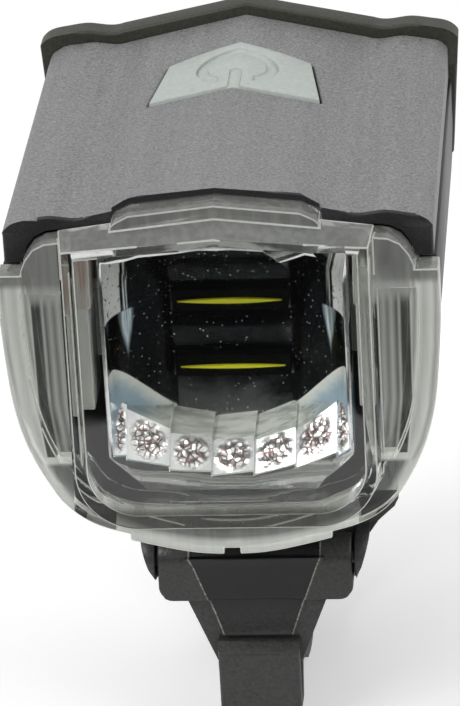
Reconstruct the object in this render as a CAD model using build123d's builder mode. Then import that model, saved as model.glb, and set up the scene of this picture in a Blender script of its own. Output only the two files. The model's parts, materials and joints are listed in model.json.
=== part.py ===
from build123d import *
import math
import os

# Bike headlight with a quick clamp for the handlebar. Millimetres.
# The origin is on the handlebar's axis. X runs along the bar, the lamp shines towards -Y, Z is up.

# Handlebar and clamp
bar_r = 12.7
pad_thk = 1.2
pad_half = 10.4
clamp_wall = 2.6
plate_thk = 4.1
plate_front = 15.0
plate_rear = 12.0
saddle_half = 16.0
saddle_low_z = 0.6
saddle_low_half = 11.1
saddle_taper_z = 9.4
edge_round = 0.6

# Clearances
run_gap = 0.05
side_gap = 0.3
seat_gap = 0.02
thread_gap = 0.02
face_gap = 0.3
overrun = 5.0

# Lever, with its pin across the front of the saddle
lever_pin_y = -19.5
lever_pin_z = 5.0
lever_pin_r = 1.0
barrel_r = 2.4
shoulder_half = 10.95
shoulder_low_z = 0.5
shoulder_back_y = -18.4
shoulder_front_y = -21.9
shoulder_round = 1.6
cheek_thk = 2.0
cheek_r = 2.7
ramp_top_half = 7.8
ramp_low_half = 4.0
flank_top_half = 8.0
flank_low_half = 4.8
flank_low_z = -7.6
ramp_top_y = -22.4
ramp_top_z = 6.0
ramp_mid_y = -21.2
ramp_mid_z = -0.6
ramp_low_y = -21.8
ramp_low_z = -4.1
groove_h = 0.6
ledge_y = -21.8
ledge_h = 1.2
tab_y = -22.9
tab_half = 4.6
tab_low_z = -14.2
tab_round = 1.2
lever_back_y = -19.4
lever_web = 1.5
tab_edge = 0.5
pin_inset = 0.8
hook_y = -17.0
hook_z = -10.0
hook_reach_out = 2.4
hook_reach_in = 1.1
hook_depth = 1.6
hook_half = 4.0

# Jaw, with its pin behind the bar
jaw_pin_y = 19.7
jaw_pin_z = 1.0
jaw_pin_r = 1.0
knuckle_r = 2.8
jaw_half = 4.4
jaw_ear_thk = 2.8
jaw_top_z = -4.8
jaw_pad_half = 4.0
nose_y = -18.2
nose_z = -5.6
nose_reach_out = 1.9
nose_reach_in = 2.2

# Swivel between bracket and lamp
swivel_y = -8.0
swivel_shank_r = 1.5
swivel_head_r = 2.6
swivel_head_h = 2.0
swivel_seat_z = 15.2
washer_r = 7.5
washer_thk = 0.6
boss_r = 8.0
thread_boss_r = 3.3
thread_boss_h = 3.6
lamp_gap = 1.9

# Lamp section, measured from its centre, which the lens and the reflector share
rim_y = -44.0
belly_depth = 21.4
lens_half = 22.95
cover_step = 0.55
half_w = lens_half - cover_step
roof_rise = 19.0
cover_low_z = 10.9
cover_len = 49.7
cover_wall = 1.8
lip_thk = 2.0
brow_rise = 0.75
brow_len = 9.0
brow_sink = 0.6
seal_thk = 0.3
tub_wall = 1.8
tub_inset = 0.25
tub_front = 1.1
rear_split_z = 1.5
cap_thk = 3.3
cap_proud = 1.2
cap_round = cap_proud / 2
cap_hole_half = 5.0
cap_hole_h = 3.9
rib_thk = 1.2

# Lens
flange_front = -1.4
flange_back = 0.6
skirt_depth = 3.0
lens_wall = 1.2
dome_front = -5.0
dome_side = 6.55
dome_half = lens_half - dome_side
dome_top_z = 15.2
dome_foot = 3.0
dome_low_z = dome_foot - belly_depth
dome_corner = 7.0
bead_w = 2.3
bead_rise = 1.3
tongue_top_z = 17.4
dome_draft = 0.5
dome_ridge = 0.6
pocket_top_z = 8.5
pocket_foot = 10.4
pocket_low_z = pocket_foot - belly_depth
pocket_depth = 1.3
skirt_gap = 0.1
lip_half = 10.7
lip_drop = 0.7
lip_notch = 1.7
lip_rise = 2.0

# Reflector, light guides and light source
mirror_side = 9.85
mirror_half = lens_half - mirror_side
mirror_front = 2.6
mirror_back = 14.0
mirror_top_z = 12.8
mirror_foot = 4.5
mirror_low_z = mirror_foot - belly_depth
mirror_wall = 0.6
bowl_back = 11.4
bowl_roof_drop = 3.0
bowl_turn_share = 0.6
mirror_corner = 4.0
bowl_flat_half = 6.4
bowl_top_z = 12.0
bowl_side_z = 9.4
facet_top_y = 6.2
facet_low_y = 3.2
facet_step = 0.5
guide_side = 1.9
guide_half = mirror_half + guide_side
guide_w = 1.7
guide_wide = 2.3
guide_front = 1.5
guide_back = 9.0
guide_top_z = 10.6
guide_step_z = 5.0
guide_foot_z = -3.0
guide_low_z = -6.7
strip_half = 5.6
strip_h = 0.75
strip_upper_z = 1.8
strip_lower_z = -5.9
led_h = 2.4
led_proud = 1.0
board_gap = 0.3
led_board_thk = 1.6
led_board_side = 1.1
led_board_half = mirror_half - led_board_side
led_board_top = 9.5
led_board_foot = 9.9
led_board_low = led_board_foot - belly_depth
sink_plate = 2.4
sink_fin = 3.2
sink_fin_thk = 1.2
sink_fin_clear = 0.5
sink_fins = 5
sink_side = 0.2
sink_half = led_board_half - sink_side
mirror_screw_r = 0.9
mirror_screw_head_r = 1.7
mirror_screw_head_h = 1.2
mirror_screw_side = 2.4
mirror_screw_half = led_board_half - mirror_screw_side
sink_fins_half = mirror_screw_half - mirror_screw_head_r - sink_fin_clear
sink_fin_pitch = (2 * sink_fins_half - sink_fin_thk) / (sink_fins - 1)
mirror_screw_z = 5.0
mirror_screw_bite = 2.4

# Main board, switch, button and socket
board_side = 8.75
board_half = lens_half - board_side
board_y0 = 25.5
board_y1 = 48.2
board_z = 7.4
board_thk = 1.6
board_screw_side = 1.7
board_screw_half = board_half - board_screw_side
board_screw_y0 = 27.7
board_screw_y1 = 44.2
board_screw_r = 0.9
board_screw_head_r = 1.7
board_screw_head_h = 1.2
board_boss_r = 1.8
board_bite = 4.0
button_y0 = 28.0
button_half0 = 9.3
button_half1 = 7.85
button_y1 = 37.9
button_y2 = 40.6
button_gap = 0.25
button_proud = 0.25
button_thk = 2.7
button_lap = 1.1
button_travel = 0.6
stem_r = 2.2
mark_y = 34.2
mark_r = 3.9
mark_w = 1.3
mark_depth = 0.3
mark_gap = 3.9
switch_y = 34.2
switch_half = 3.1
switch_h = 2.6
plunger_r = 1.7
plunger_h = 1.2
plunger_seat = 0.6
chip_x = 6.5
chip_size = 4.0
small_part_side = 6.0
small_part_x = board_screw_half - small_part_side
led_y = 30.0
led_half = 6.5
led_size = 1.6
led_chip_h = 0.8
socket_half = 4.5
socket_h = 3.2
socket_len = 7.3
socket_wall = 0.4

# Battery
cell_side = 9.95
cell_half = lens_half - cell_side
cell_thk = 7.3
cell_foot = 6.8
cell_low_z = cell_foot - belly_depth
cell_top_z = 3.0
cell_h = cell_top_z - cell_low_z
cell_y0 = 29.4
cell_gap = 0.6
cell_round = 1.2
tray_wall = 1.0
tray_wall_h = 7.0

# Screws that hold the two shells
pillar_side = 5.95
pillar_half = lens_half - pillar_side
pillar_y0 = 26.6
pillar_y1 = 45.9
pillar_r = 2.5
pillar_top_z = 3.0
counter_r = 1.85
counter_z = -5.0
screw_r = 0.9
screw_head_r = 1.7
screw_head_h = 1.4
screw_bite = 5.0
cap_screw_side = 4.2
cap_screw_half = half_w - cap_screw_side
cap_screw_z = 12.7
cap_screw_len = 5.0

# Rubber flap over the socket
flap_half = 7.4
flap_h = 9.6
flap_thk = 1.4
flap_plug_half = 4.2
flap_plug_h = 2.6
flap_plug_depth = 1.4
flap_hinge_r = 0.75

# Shares of half_w and roof_rise that draw the roof, from the ridge to the side
roof_shares = ((0.0, 1.0), (0.60, 0.843), (0.68, 0.832), (0.77, 0.846), (0.87, 0.831), (0.955, 0.806),
               (1.0, 0.755))
# Shares of half_w and roof_rise for the lower edge of the cover's front lip
lip_shares = ((0.0, 0.968), (0.397, 0.916), (0.46, 0.878), (0.482, 0.855), (0.49, 0.789), (0.56, 0.779),
              (0.65, 0.761), (0.715, 0.768), (0.795, 0.758), (0.85, 0.726), (0.89, 0.663), (0.912, 0.60))
# Shares of lens_half and belly_depth that draw the lens and the tub, from the top corner down to the middle
body_shares = ((1.0, 0.29), (0.991, 0.079), (0.961, -0.234), (0.917, -0.42), (0.81, -0.664),
               (0.745, -0.762), (0.64, -0.85), (0.466, -0.916), (0.24, -0.976), (0.0, -1.0))
# Shares of mirror_half, and heights under the lamp's centre as shares of belly_depth, along the facets
facet_x_shares = (-0.962, -0.855, -0.512, -0.172, 0.172, 0.512, 0.855, 0.962)
facet_top_shares = (-0.353, -0.413, -0.55, -0.596, -0.596, -0.55, -0.413, -0.353)
facet_low_shares = (-0.60, -0.62, -0.683, -0.716, -0.716, -0.683, -0.62, -0.60)
shelf_shares = (-0.345, -0.395, -0.50, -0.573, -0.573, -0.50, -0.395, -0.345)

# Places that follow from the sizes above
pad_r = bar_r + pad_thk
clamp_r = pad_r + clamp_wall
plate_top = pad_r + plate_thk
lamp_z = plate_top + lamp_gap + belly_depth
tub_top_z = cover_low_z - seal_thk
cap_back = cover_len + cap_thk
led_board_y = mirror_back + board_gap
sink_y = led_board_y + led_board_thk
board_top = board_z + board_thk
swivel_depth = swivel_y - rim_y


def cross_plane(depth):
    """A plane across the lamp, this far behind the rim, with X to the right and Z up."""
    return Plane(origin=(0, rim_y + depth, lamp_z), x_dir=(1, 0, 0), z_dir=(0, -1, 0))


def level_plane(height):
    """A level plane at this height over the lamp's centre, with Y measured from the rim."""
    return Plane(origin=(0, rim_y, lamp_z + height), x_dir=(1, 0, 0), z_dir=(0, 0, 1))


def side_plane(x):
    """A plane square to the handlebar at this place along it, with local axes Y and Z."""
    return Plane(origin=(x, 0, 0), x_dir=(0, 1, 0), z_dir=(1, 0, 0))


def roof_outline(inset, low_z, low_half):
    """The roof's section, moved inwards by inset and closed along low_z, where it is low_half wide."""
    points = [((half_w - inset) * a, roof_rise * b - inset) for a, b in roof_shares]
    with BuildLine() as outline:
        Line(points[0], points[1])
        Spline(*points[1:])
        Polyline(points[-1], (low_half, low_z), (0, low_z))
        mirror(about=Plane.YZ)
    return outline.line


def body_outline(inset, top_z):
    """The section that lens and tub share, moved inwards by inset and closed along top_z."""
    points = [((lens_half - inset) * a, (belly_depth - inset) * b) for a, b in body_shares]
    with BuildLine() as outline:
        Spline(*points, tangents=((0, -1), (-1, 0)))
        Polyline(points[0], (points[0][0], top_z), (0, top_z))
        mirror(about=Plane.YZ)
    return outline.line


def twin_outline(half_points):
    """A closed outline that is alike on both sides of the middle, from the points of its right half."""
    with BuildLine() as outline:
        Polyline(*half_points)
        mirror(about=Plane.YZ)
    return outline.line


def lip_outline(gap):
    """The opening under the cover's front lip, with the notch for the lens's tongue."""
    points = [(half_w * a, roof_rise * b - gap) for a, b in lip_shares]
    return twin_outline([*points, (points[-1][0], 0), (0, 0)])


def dome_outline(inset, top_mid, top_side):
    """The lens's dome from the front, moved inwards by inset, with a ridge and two round lower corners."""
    half = dome_half - inset
    low = dome_low_z + inset
    corner = dome_corner - inset
    with BuildLine() as outline:
        Polyline((0, top_mid - inset), (half, top_side - inset), (half, low + corner))
        RadiusArc((half, low + corner), (half - corner, low), corner)
        Line((half - corner, low), (0, low))
        mirror(about=Plane.YZ)
    return outline.line


def button_outline():
    """The button seen from above."""
    arc_mid = (button_half1 / 2, (button_y1 + 2 * button_y2) / 3)
    with BuildLine() as outline:
        Polyline((0, button_y0), (button_half0, button_y0), (button_half1, button_y1))
        ThreePointArc((button_half1, button_y1), arc_mid, (0, button_y2))
        mirror(about=Plane.YZ)
    return outline.line


def board_screw_places():
    return [(x, y) for x in (-board_screw_half, board_screw_half) for y in (board_screw_y0, board_screw_y1)]


def pillar_places():
    return [(x, y) for x in (-pillar_half, pillar_half) for y in (pillar_y0, pillar_y1)]


def mirror_screw_places():
    return [(x, mirror_screw_z) for x in (-mirror_screw_half, mirror_screw_half)]


def cap_screw_places():
    return [(x, cap_screw_z) for x in (-cap_screw_half, cap_screw_half)]


def screw_group(plane, places, shank_r, length, head_r, head_h):
    """Screws whose heads' undersides lie on this plane, with shanks along its normal."""
    with BuildPart() as group:
        with BuildSketch(plane):
            with Locations(*places):
                Circle(shank_r)
        extrude(amount=length)
        with BuildSketch(plane):
            with Locations(*places):
                Circle(head_r)
        extrude(amount=-head_h)
        with BuildSketch(plane.offset(-head_h)):
            with Locations(*places):
                RegularPolygon(shank_r, 6)
        extrude(amount=head_h / 2, mode=Mode.SUBTRACT)
    return group


# Bracket: an arch over the bar, a plate on top, cheeks for the lever and ears for the jaw
mid_r = (pad_r + clamp_r) / 2
lever_seat = Vector(lever_pin_y, lever_pin_z).normalized() * mid_r
jaw_seat = Vector(jaw_pin_y, jaw_pin_z + knuckle_r).normalized() * mid_r
with BuildPart() as bracket_body:
    with BuildSketch(side_plane(-saddle_half)):
        Circle(clamp_r)
        with Locations(((plate_rear - plate_front) / 2, plate_top / 2)):
            Rectangle(plate_front + plate_rear, plate_top)
    extrude(amount=2 * saddle_half)
    for side in (-1, 1):
        with BuildSketch(side_plane(side * (shoulder_half + side_gap))):
            with Locations((lever_pin_y, lever_pin_z), (lever_seat.X, lever_seat.Y)):
                Circle(cheek_r)
            make_hull()
        extrude(amount=side * cheek_thk)
        with BuildSketch(side_plane(side * (jaw_half + side_gap))):
            with Locations((jaw_pin_y, jaw_pin_z), (jaw_seat.X, jaw_seat.Y)):
                Circle(knuckle_r)
            make_hull()
        extrude(amount=side * jaw_ear_thk)
    with BuildSketch(Plane.XZ.offset(-2 * clamp_r)):
        make_face(twin_outline([(0, plate_top), (saddle_half, plate_top), (saddle_half, saddle_taper_z),
                                (saddle_low_half, saddle_low_z), (saddle_low_half, -clamp_r), (0, -clamp_r)]))
    extrude(amount=4 * clamp_r, mode=Mode.INTERSECT)
    fillet(bracket_body.edges().filter_by(Axis.Y).group_by(Axis.Z)[-1], edge_round)
    with BuildSketch(side_plane(-saddle_half)):
        Circle(pad_r)
        with Locations((0, saddle_low_z - clamp_r)):
            Rectangle(2 * clamp_r, 2 * clamp_r)
        with Locations((lever_pin_y, lever_pin_z)):
            Circle(lever_pin_r + thread_gap)
        with Locations((jaw_pin_y, jaw_pin_z)):
            Circle(jaw_pin_r + thread_gap)
    extrude(amount=2 * saddle_half, mode=Mode.SUBTRACT)
    with BuildSketch(Plane.XY.offset(plate_top)):
        with Locations((0, swivel_y)):
            Circle(swivel_shank_r + run_gap)
    extrude(amount=-plate_top, mode=Mode.SUBTRACT)
    with BuildSketch(Plane.XY.offset(swivel_seat_z)):
        with Locations((0, swivel_y)):
            Circle(swivel_head_r + side_gap)
    extrude(amount=-swivel_seat_z, mode=Mode.SUBTRACT)

# Rubber liner of the saddle
with BuildPart() as saddle_pad:
    with BuildSketch(side_plane(-pad_half)):
        Circle(pad_r - seat_gap)
        Circle(bar_r, mode=Mode.SUBTRACT)
        with Locations((0, saddle_low_z - clamp_r)):
            Rectangle(4 * clamp_r, 2 * clamp_r, mode=Mode.SUBTRACT)
    extrude(amount=2 * pad_half)

# Washer that the lamp turns on, and the screw that holds the lamp down
with BuildPart() as swivel_washer:
    with BuildSketch(Plane.XY.offset(plate_top + seat_gap)):
        with Locations((0, swivel_y)):
            Circle(washer_r)
            Circle(swivel_shank_r + run_gap, mode=Mode.SUBTRACT)
    extrude(amount=washer_thk - seat_gap)

swivel_screw = screw_group(Plane.XY.offset(swivel_seat_z - run_gap), [(0, swivel_y)], swivel_shank_r,
                           lamp_z + thread_boss_h - belly_depth - swivel_seat_z, swivel_head_r, swivel_head_h)


def pin(half_length, y, z, r):
    """A plain pin along the handlebar's direction."""
    with BuildPart() as piece:
        with BuildSketch(side_plane(-half_length)):
            with Locations((y, z)):
                Circle(r)
        extrude(amount=2 * half_length)
    return piece


lever_pin = pin(shoulder_half + side_gap + cheek_thk - pin_inset, lever_pin_y, lever_pin_z, lever_pin_r)
jaw_pin = pin(jaw_half + side_gap + jaw_ear_thk, jaw_pin_y, jaw_pin_z, jaw_pin_r)

# Lever's ramp: a trapezoid seen from the front, with a hollowed face
with BuildPart() as lever_ramp:
    with BuildSketch(side_plane(-ramp_top_half)):
        with BuildLine():
            ThreePointArc((ramp_top_y, ramp_top_z), (ramp_mid_y, ramp_mid_z), (ramp_low_y, ramp_low_z))
            Polyline((ramp_low_y, ramp_low_z), (lever_back_y, ramp_low_z), (lever_back_y, ramp_top_z),
                     (ramp_top_y, ramp_top_z))
        make_face()
    extrude(amount=2 * ramp_top_half)
    with BuildSketch(Plane.XZ):
        make_face(twin_outline([(0, ramp_top_z), (ramp_top_half, ramp_top_z), (ramp_low_half, ramp_low_z),
                                (0, ramp_low_z)]))
    extrude(amount=2 * clamp_r, mode=Mode.INTERSECT)

# Lever's tab and the hook behind it, which holds the jaw's nose on a face at 45 degrees
tab_top_z = ramp_low_z - groove_h
slope = math.sqrt(0.5)
hook_top = (hook_y - slope * hook_reach_out, hook_z + slope * hook_reach_out)
hook_tip = (hook_y + slope * hook_reach_in, hook_z - slope * hook_reach_in)
hook_root = (hook_tip[0] - slope * hook_depth, hook_tip[1] - slope * hook_depth)
with BuildPart() as lever_tab:
    with BuildSketch(side_plane(-tab_half)):
        with BuildLine():
            Polyline((lever_back_y, tab_top_z), (ledge_y, tab_top_z), (tab_y, tab_top_z - ledge_h),
                     (tab_y, tab_low_z), (lever_back_y, tab_low_z), close=True)
        make_face()
    extrude(amount=2 * tab_half)
    fillet(lever_tab.edges().filter_by(Axis.Y).group_by(Axis.Z)[0], tab_round)
    fillet(lever_tab.faces().sort_by(Axis.Y)[0].edges(), tab_edge)
    with BuildSketch(side_plane(-hook_half)):
        with BuildLine():
            Polyline(hook_top, hook_tip, hook_root, (lever_back_y, hook_root[1]),
                     (lever_back_y, hook_top[1]), close=True)
        make_face()
    extrude(amount=2 * hook_half)

# Lever: rounded shoulders on the pin and a T-shaped web that carries ramp, tab and hook
with BuildPart() as clamp_lever:
    with BuildSketch(side_plane(-shoulder_half)):
        with Locations((lever_pin_y, lever_pin_z)):
            Circle(barrel_r)
        with BuildLine():
            Polyline((shoulder_back_y, shoulder_low_z), (shoulder_front_y, shoulder_low_z),
                     (shoulder_front_y, lever_pin_z), (shoulder_back_y, lever_pin_z), close=True)
        make_face()
    extrude(amount=2 * shoulder_half)
    with BuildSketch(Plane.XZ.offset(-lever_back_y)):
        make_face(twin_outline([(0, lever_pin_z), (shoulder_half, lever_pin_z),
                                (shoulder_half, shoulder_low_z), (flank_top_half, shoulder_low_z),
                                (flank_low_half, flank_low_z), (tab_half, tab_low_z), (0, tab_low_z)]))
    extrude(amount=lever_web)
    along_bar = clamp_lever.edges().filter_by(Axis.Y)
    fillet(along_bar.filter_by_position(Axis.Z, shoulder_low_z - edge_round, shoulder_low_z + edge_round)
           .sort_by(lambda edge: abs(edge.center().X))[-2:], shoulder_round)
    fillet(clamp_lever.edges().filter_by(Axis.Y).group_by(Axis.Z)[0], tab_round)
    add(lever_ramp.part)
    add(lever_tab.part)
    with BuildSketch(side_plane(-shoulder_half)):
        with Locations((lever_pin_y, lever_pin_z)):
            Circle(lever_pin_r + run_gap)
    extrude(amount=2 * shoulder_half, mode=Mode.SUBTRACT)

# Jaw: a half ring under the bar, a knuckle behind it and a nose in front that the lever's hook holds
nose_contact = (hook_y + slope * face_gap, hook_z + slope * face_gap)
nose_top = (nose_contact[0] - slope * nose_reach_out, nose_contact[1] + slope * nose_reach_out)
nose_tip = (nose_contact[0] + slope * nose_reach_in, nose_contact[1] - slope * nose_reach_in)
ring_front = (-math.sqrt(mid_r ** 2 - jaw_top_z ** 2), jaw_top_z)
with BuildPart() as clamp_jaw:
    with BuildSketch(side_plane(-jaw_half)):
        Circle(clamp_r)
        with Locations((0, jaw_top_z + clamp_r)):
            Rectangle(2 * clamp_r, 2 * clamp_r, mode=Mode.SUBTRACT)
        with BuildLine():
            Polyline(ring_front, (nose_y, nose_z), nose_top, nose_tip, (0, -mid_r), close=True)
        make_face()
    extrude(amount=2 * jaw_half)
    with BuildSketch(side_plane(-jaw_half)):
        with Locations((jaw_pin_y, jaw_pin_z), (-ring_front[0], ring_front[1])):
            Circle(knuckle_r)
        make_hull()
    extrude(amount=2 * jaw_half)
    with BuildSketch(side_plane(-jaw_half)):
        Circle(clamp_r + side_gap)
        with Locations((0, saddle_low_z - face_gap - 2 * clamp_r)):
            Rectangle(4 * clamp_r, 4 * clamp_r, mode=Mode.SUBTRACT)
        Circle(pad_r)
        with Locations((jaw_pin_y, jaw_pin_z)):
            Circle(jaw_pin_r + run_gap)
    extrude(amount=2 * jaw_half, mode=Mode.SUBTRACT)

with BuildPart() as jaw_pad:
    with BuildSketch(side_plane(-jaw_pad_half)):
        Circle(pad_r - seat_gap)
        Circle(bar_r, mode=Mode.SUBTRACT)
        with Locations((0, jaw_top_z - face_gap + clamp_r)):
            Rectangle(4 * clamp_r, 2 * clamp_r, mode=Mode.SUBTRACT)
    extrude(amount=2 * jaw_pad_half)

# Top cover: a roof with a front lip, a brow over the lens and bosses for the screws
boss_top = roof_rise - 2 * cover_wall
brow_half = half_w * lip_shares[3][0]
brow_front = [(0, roof_rise), (half_w * lip_shares[1][0], roof_rise * lip_shares[1][1] + brow_rise),
              (brow_half, roof_rise * lip_shares[3][1] + brow_rise), (brow_half, boss_top), (0, boss_top)]
roof_slope = roof_rise * (1 - roof_shares[1][1]) / (half_w * roof_shares[1][0])
brow_rear = [(x, z if z == boss_top else roof_rise - brow_sink - x * roof_slope) for x, z in brow_front]
with BuildPart() as brow:
    with BuildSketch(cross_plane(0)):
        make_face(twin_outline(brow_front))
    with BuildSketch(cross_plane(brow_len)):
        make_face(twin_outline(brow_rear))
    loft(ruled=True)

with BuildPart() as top_cover:
    with BuildSketch(cross_plane(0)):
        make_face(roof_outline(0, cover_low_z, half_w))
    extrude(amount=-cover_len)
    add(brow.part)
    with BuildSketch(cross_plane(lip_thk)):
        make_face(roof_outline(cover_wall, cover_low_z - overrun, half_w - cover_wall))
    extrude(amount=-cover_len, mode=Mode.SUBTRACT)
    with BuildSketch(cross_plane(0)):
        make_face(lip_outline(0))
    extrude(amount=-lip_thk, mode=Mode.SUBTRACT)
    with BuildSketch(level_plane(board_top + seat_gap)):
        with Locations(*board_screw_places()):
            Circle(board_boss_r)
    extrude(amount=boss_top - board_top)
    with BuildSketch(level_plane(pillar_top_z + face_gap)):
        with Locations(*pillar_places()):
            Circle(pillar_r)
    extrude(amount=boss_top - pillar_top_z - face_gap)
    with BuildSketch(cross_plane(cover_len)):
        with Locations(*cap_screw_places()):
            Rectangle(2 * screw_head_r, 2 * screw_head_r)
    extrude(amount=cap_screw_len + screw_head_h)
    with BuildSketch(cross_plane(cover_len)):
        with Locations(*cap_screw_places()):
            Circle(screw_r + thread_gap)
    extrude(amount=cap_screw_len, mode=Mode.SUBTRACT)
    with BuildSketch(level_plane(board_top)):
        with Locations(*board_screw_places()):
            Circle(board_screw_r + thread_gap)
    extrude(amount=board_bite, mode=Mode.SUBTRACT)
    with BuildSketch(level_plane(pillar_top_z)):
        with Locations(*pillar_places()):
            Circle(screw_r + thread_gap)
    extrude(amount=screw_bite + 2 * face_gap, mode=Mode.SUBTRACT)
    with BuildSketch(level_plane(board_top)):
        make_face(button_outline())
        offset(amount=button_gap)
    extrude(amount=roof_rise, mode=Mode.SUBTRACT)

# Tub: pillars and ribs, trimmed to the tub's own section
with BuildPart() as tub_inside:
    with BuildSketch(level_plane(-belly_depth)):
        with Locations(*pillar_places()):
            Circle(pillar_r)
    extrude(amount=belly_depth + pillar_top_z)
    with BuildSketch(level_plane(-belly_depth)):
        with Locations((0, cell_y0 + rib_thk), (0, pillar_y1 - rib_thk)):
            Rectangle(2 * cell_half, rib_thk)
    extrude(amount=belly_depth + cell_low_z - tray_wall - seat_gap)
    with BuildSketch(level_plane(-belly_depth)):
        with Locations((0, (mirror_front + mirror_back) / 2)):
            Rectangle(mirror_half, rib_thk)
    extrude(amount=belly_depth + mirror_low_z - seat_gap)
    with BuildSketch(cross_plane(tub_front)):
        make_face(body_outline(tub_inset, tub_top_z))
    extrude(amount=-cap_back, mode=Mode.INTERSECT)

boss_low = plate_top + washer_thk + run_gap - lamp_z
with BuildPart() as lower_housing:
    with BuildSketch(cross_plane(tub_front)):
        make_face(body_outline(tub_inset, tub_top_z))
    extrude(amount=tub_front - cap_back)
    with BuildSketch(cross_plane(tub_front)):
        make_face(body_outline(tub_inset + tub_wall, tub_top_z + overrun))
    extrude(amount=tub_front + tub_wall - cap_back, mode=Mode.SUBTRACT)
    with BuildSketch(cross_plane(cover_len)):
        with Locations((0, rear_split_z + lens_half)):
            Rectangle(2 * lens_half + overrun, 2 * lens_half)
    extrude(amount=-cap_thk, mode=Mode.SUBTRACT)
    add(tub_inside.part)
    with BuildSketch(level_plane(boss_low)):
        with Locations((0, swivel_depth)):
            Circle(boss_r)
    extrude(amount=tub_wall - belly_depth - boss_low)
    with BuildSketch(level_plane(tub_wall / 2 - belly_depth)):
        with Locations((0, swivel_depth)):
            Circle(thread_boss_r)
    extrude(amount=tub_wall / 2 + thread_boss_h)
    with BuildSketch(level_plane(boss_low)):
        with Locations((0, swivel_depth)):
            Circle(swivel_shank_r + thread_gap)
    extrude(amount=belly_depth, mode=Mode.SUBTRACT)
    with BuildSketch(level_plane(-belly_depth)):
        with Locations(*pillar_places()):
            Circle(counter_r)
    extrude(amount=belly_depth + counter_z, mode=Mode.SUBTRACT)
    with BuildSketch(level_plane(-belly_depth)):
        with Locations(*pillar_places()):
            Circle(screw_r + run_gap)
    extrude(amount=belly_depth + roof_rise, mode=Mode.SUBTRACT)

housing_screws = screw_group(level_plane(counter_z), pillar_places(), screw_r,
                             pillar_top_z - counter_z + screw_bite, screw_head_r, screw_head_h)

# Gasket strips along the parting line
seal_x = lens_half - tub_inset - tub_wall / 2
with BuildPart() as housing_seals:
    with BuildSketch(level_plane(tub_top_z + seat_gap)):
        with Locations((-seal_x, (lip_thk + cover_len) / 2), (seal_x, (lip_thk + cover_len) / 2)):
            Rectangle(tub_wall / 2, cover_len - 2 * lip_thk)
    extrude(amount=seal_thk - 2 * seat_gap)

# Rear cap, a little proud of the cover, with the port and a seat for its flap
port_z = board_z - socket_h / 2
flap_axis_z = port_z - flap_plug_h / 2 - 2 * flap_hinge_r
flap_axis_y = cap_back - flap_hinge_r
with BuildPart() as rear_cap:
    with BuildSketch(cross_plane(cover_len + seat_gap)):
        make_face(roof_outline(-cap_proud, rear_split_z + seat_gap, lens_half - tub_inset))
    extrude(amount=seat_gap - cap_thk)
    fillet(rear_cap.faces().sort_by(Axis.Y)[-1].edges().sort_by(Axis.Z)[1:], cap_round)
    with BuildSketch(cross_plane(cover_len)):
        with Locations((0, port_z)):
            Rectangle(2 * cap_hole_half, cap_hole_h)
        with Locations(*cap_screw_places()):
            Circle(screw_r + run_gap)
    extrude(amount=-cap_thk, mode=Mode.SUBTRACT)
    with BuildSketch(cross_plane(cap_back)):
        with Locations((0, flap_axis_z + flap_h / 2)):
            Rectangle(2 * flap_half + 2 * side_gap, flap_h + 2 * flap_hinge_r + 2 * run_gap)
    extrude(amount=flap_thk + 2 * run_gap, mode=Mode.SUBTRACT)
    with BuildSketch(cross_plane(cap_back)):
        with Locations(*cap_screw_places()):
            Circle(counter_r)
    extrude(amount=screw_head_h, mode=Mode.SUBTRACT)

rear_cap_screws = screw_group(cross_plane(cap_back - screw_head_h), cap_screw_places(), screw_r,
                              cap_thk - screw_head_h + cap_screw_len - face_gap, screw_head_r, screw_head_h)

with BuildPart() as usb_cover:
    with BuildSketch(cross_plane(flap_axis_y + flap_thk / 2)):
        with Locations((0, flap_axis_z + flap_h / 2)):
            Rectangle(2 * flap_half, flap_h)
    extrude(amount=flap_thk)
    with BuildSketch(side_plane(-flap_half)):
        with Locations((rim_y + flap_axis_y, lamp_z + flap_axis_z)):
            Circle(flap_hinge_r)
    extrude(amount=2 * flap_half)
    with BuildSketch(cross_plane(flap_axis_y - flap_thk / 2)):
        with Locations((0, port_z)):
            RectangleRounded(2 * flap_plug_half, flap_plug_h, flap_plug_h / 3)
    extrude(amount=flap_plug_depth)

# Lens: a plate on the tub with two side pockets, a hollow dome, a tongue above and a split lip below
with BuildPart() as lens_dome:
    with BuildSketch(cross_plane(flange_front)):
        make_face(dome_outline(0, tongue_top_z, dome_top_z))
    with BuildSketch(cross_plane(dome_front)):
        make_face(dome_outline(dome_draft, dome_top_z + dome_ridge, dome_top_z - dome_ridge))
    loft(ruled=True)

with BuildPart() as dome_hollow:
    with BuildSketch(cross_plane(flange_back + overrun)):
        make_face(dome_outline(lens_wall, tongue_top_z, dome_top_z))
    with BuildSketch(cross_plane(flange_back)):
        make_face(dome_outline(lens_wall, tongue_top_z, dome_top_z))
    with BuildSketch(cross_plane(dome_front + lens_wall)):
        make_face(dome_outline(dome_draft + lens_wall, dome_top_z + dome_ridge, dome_top_z - dome_ridge))
    loft(ruled=True)

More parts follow.
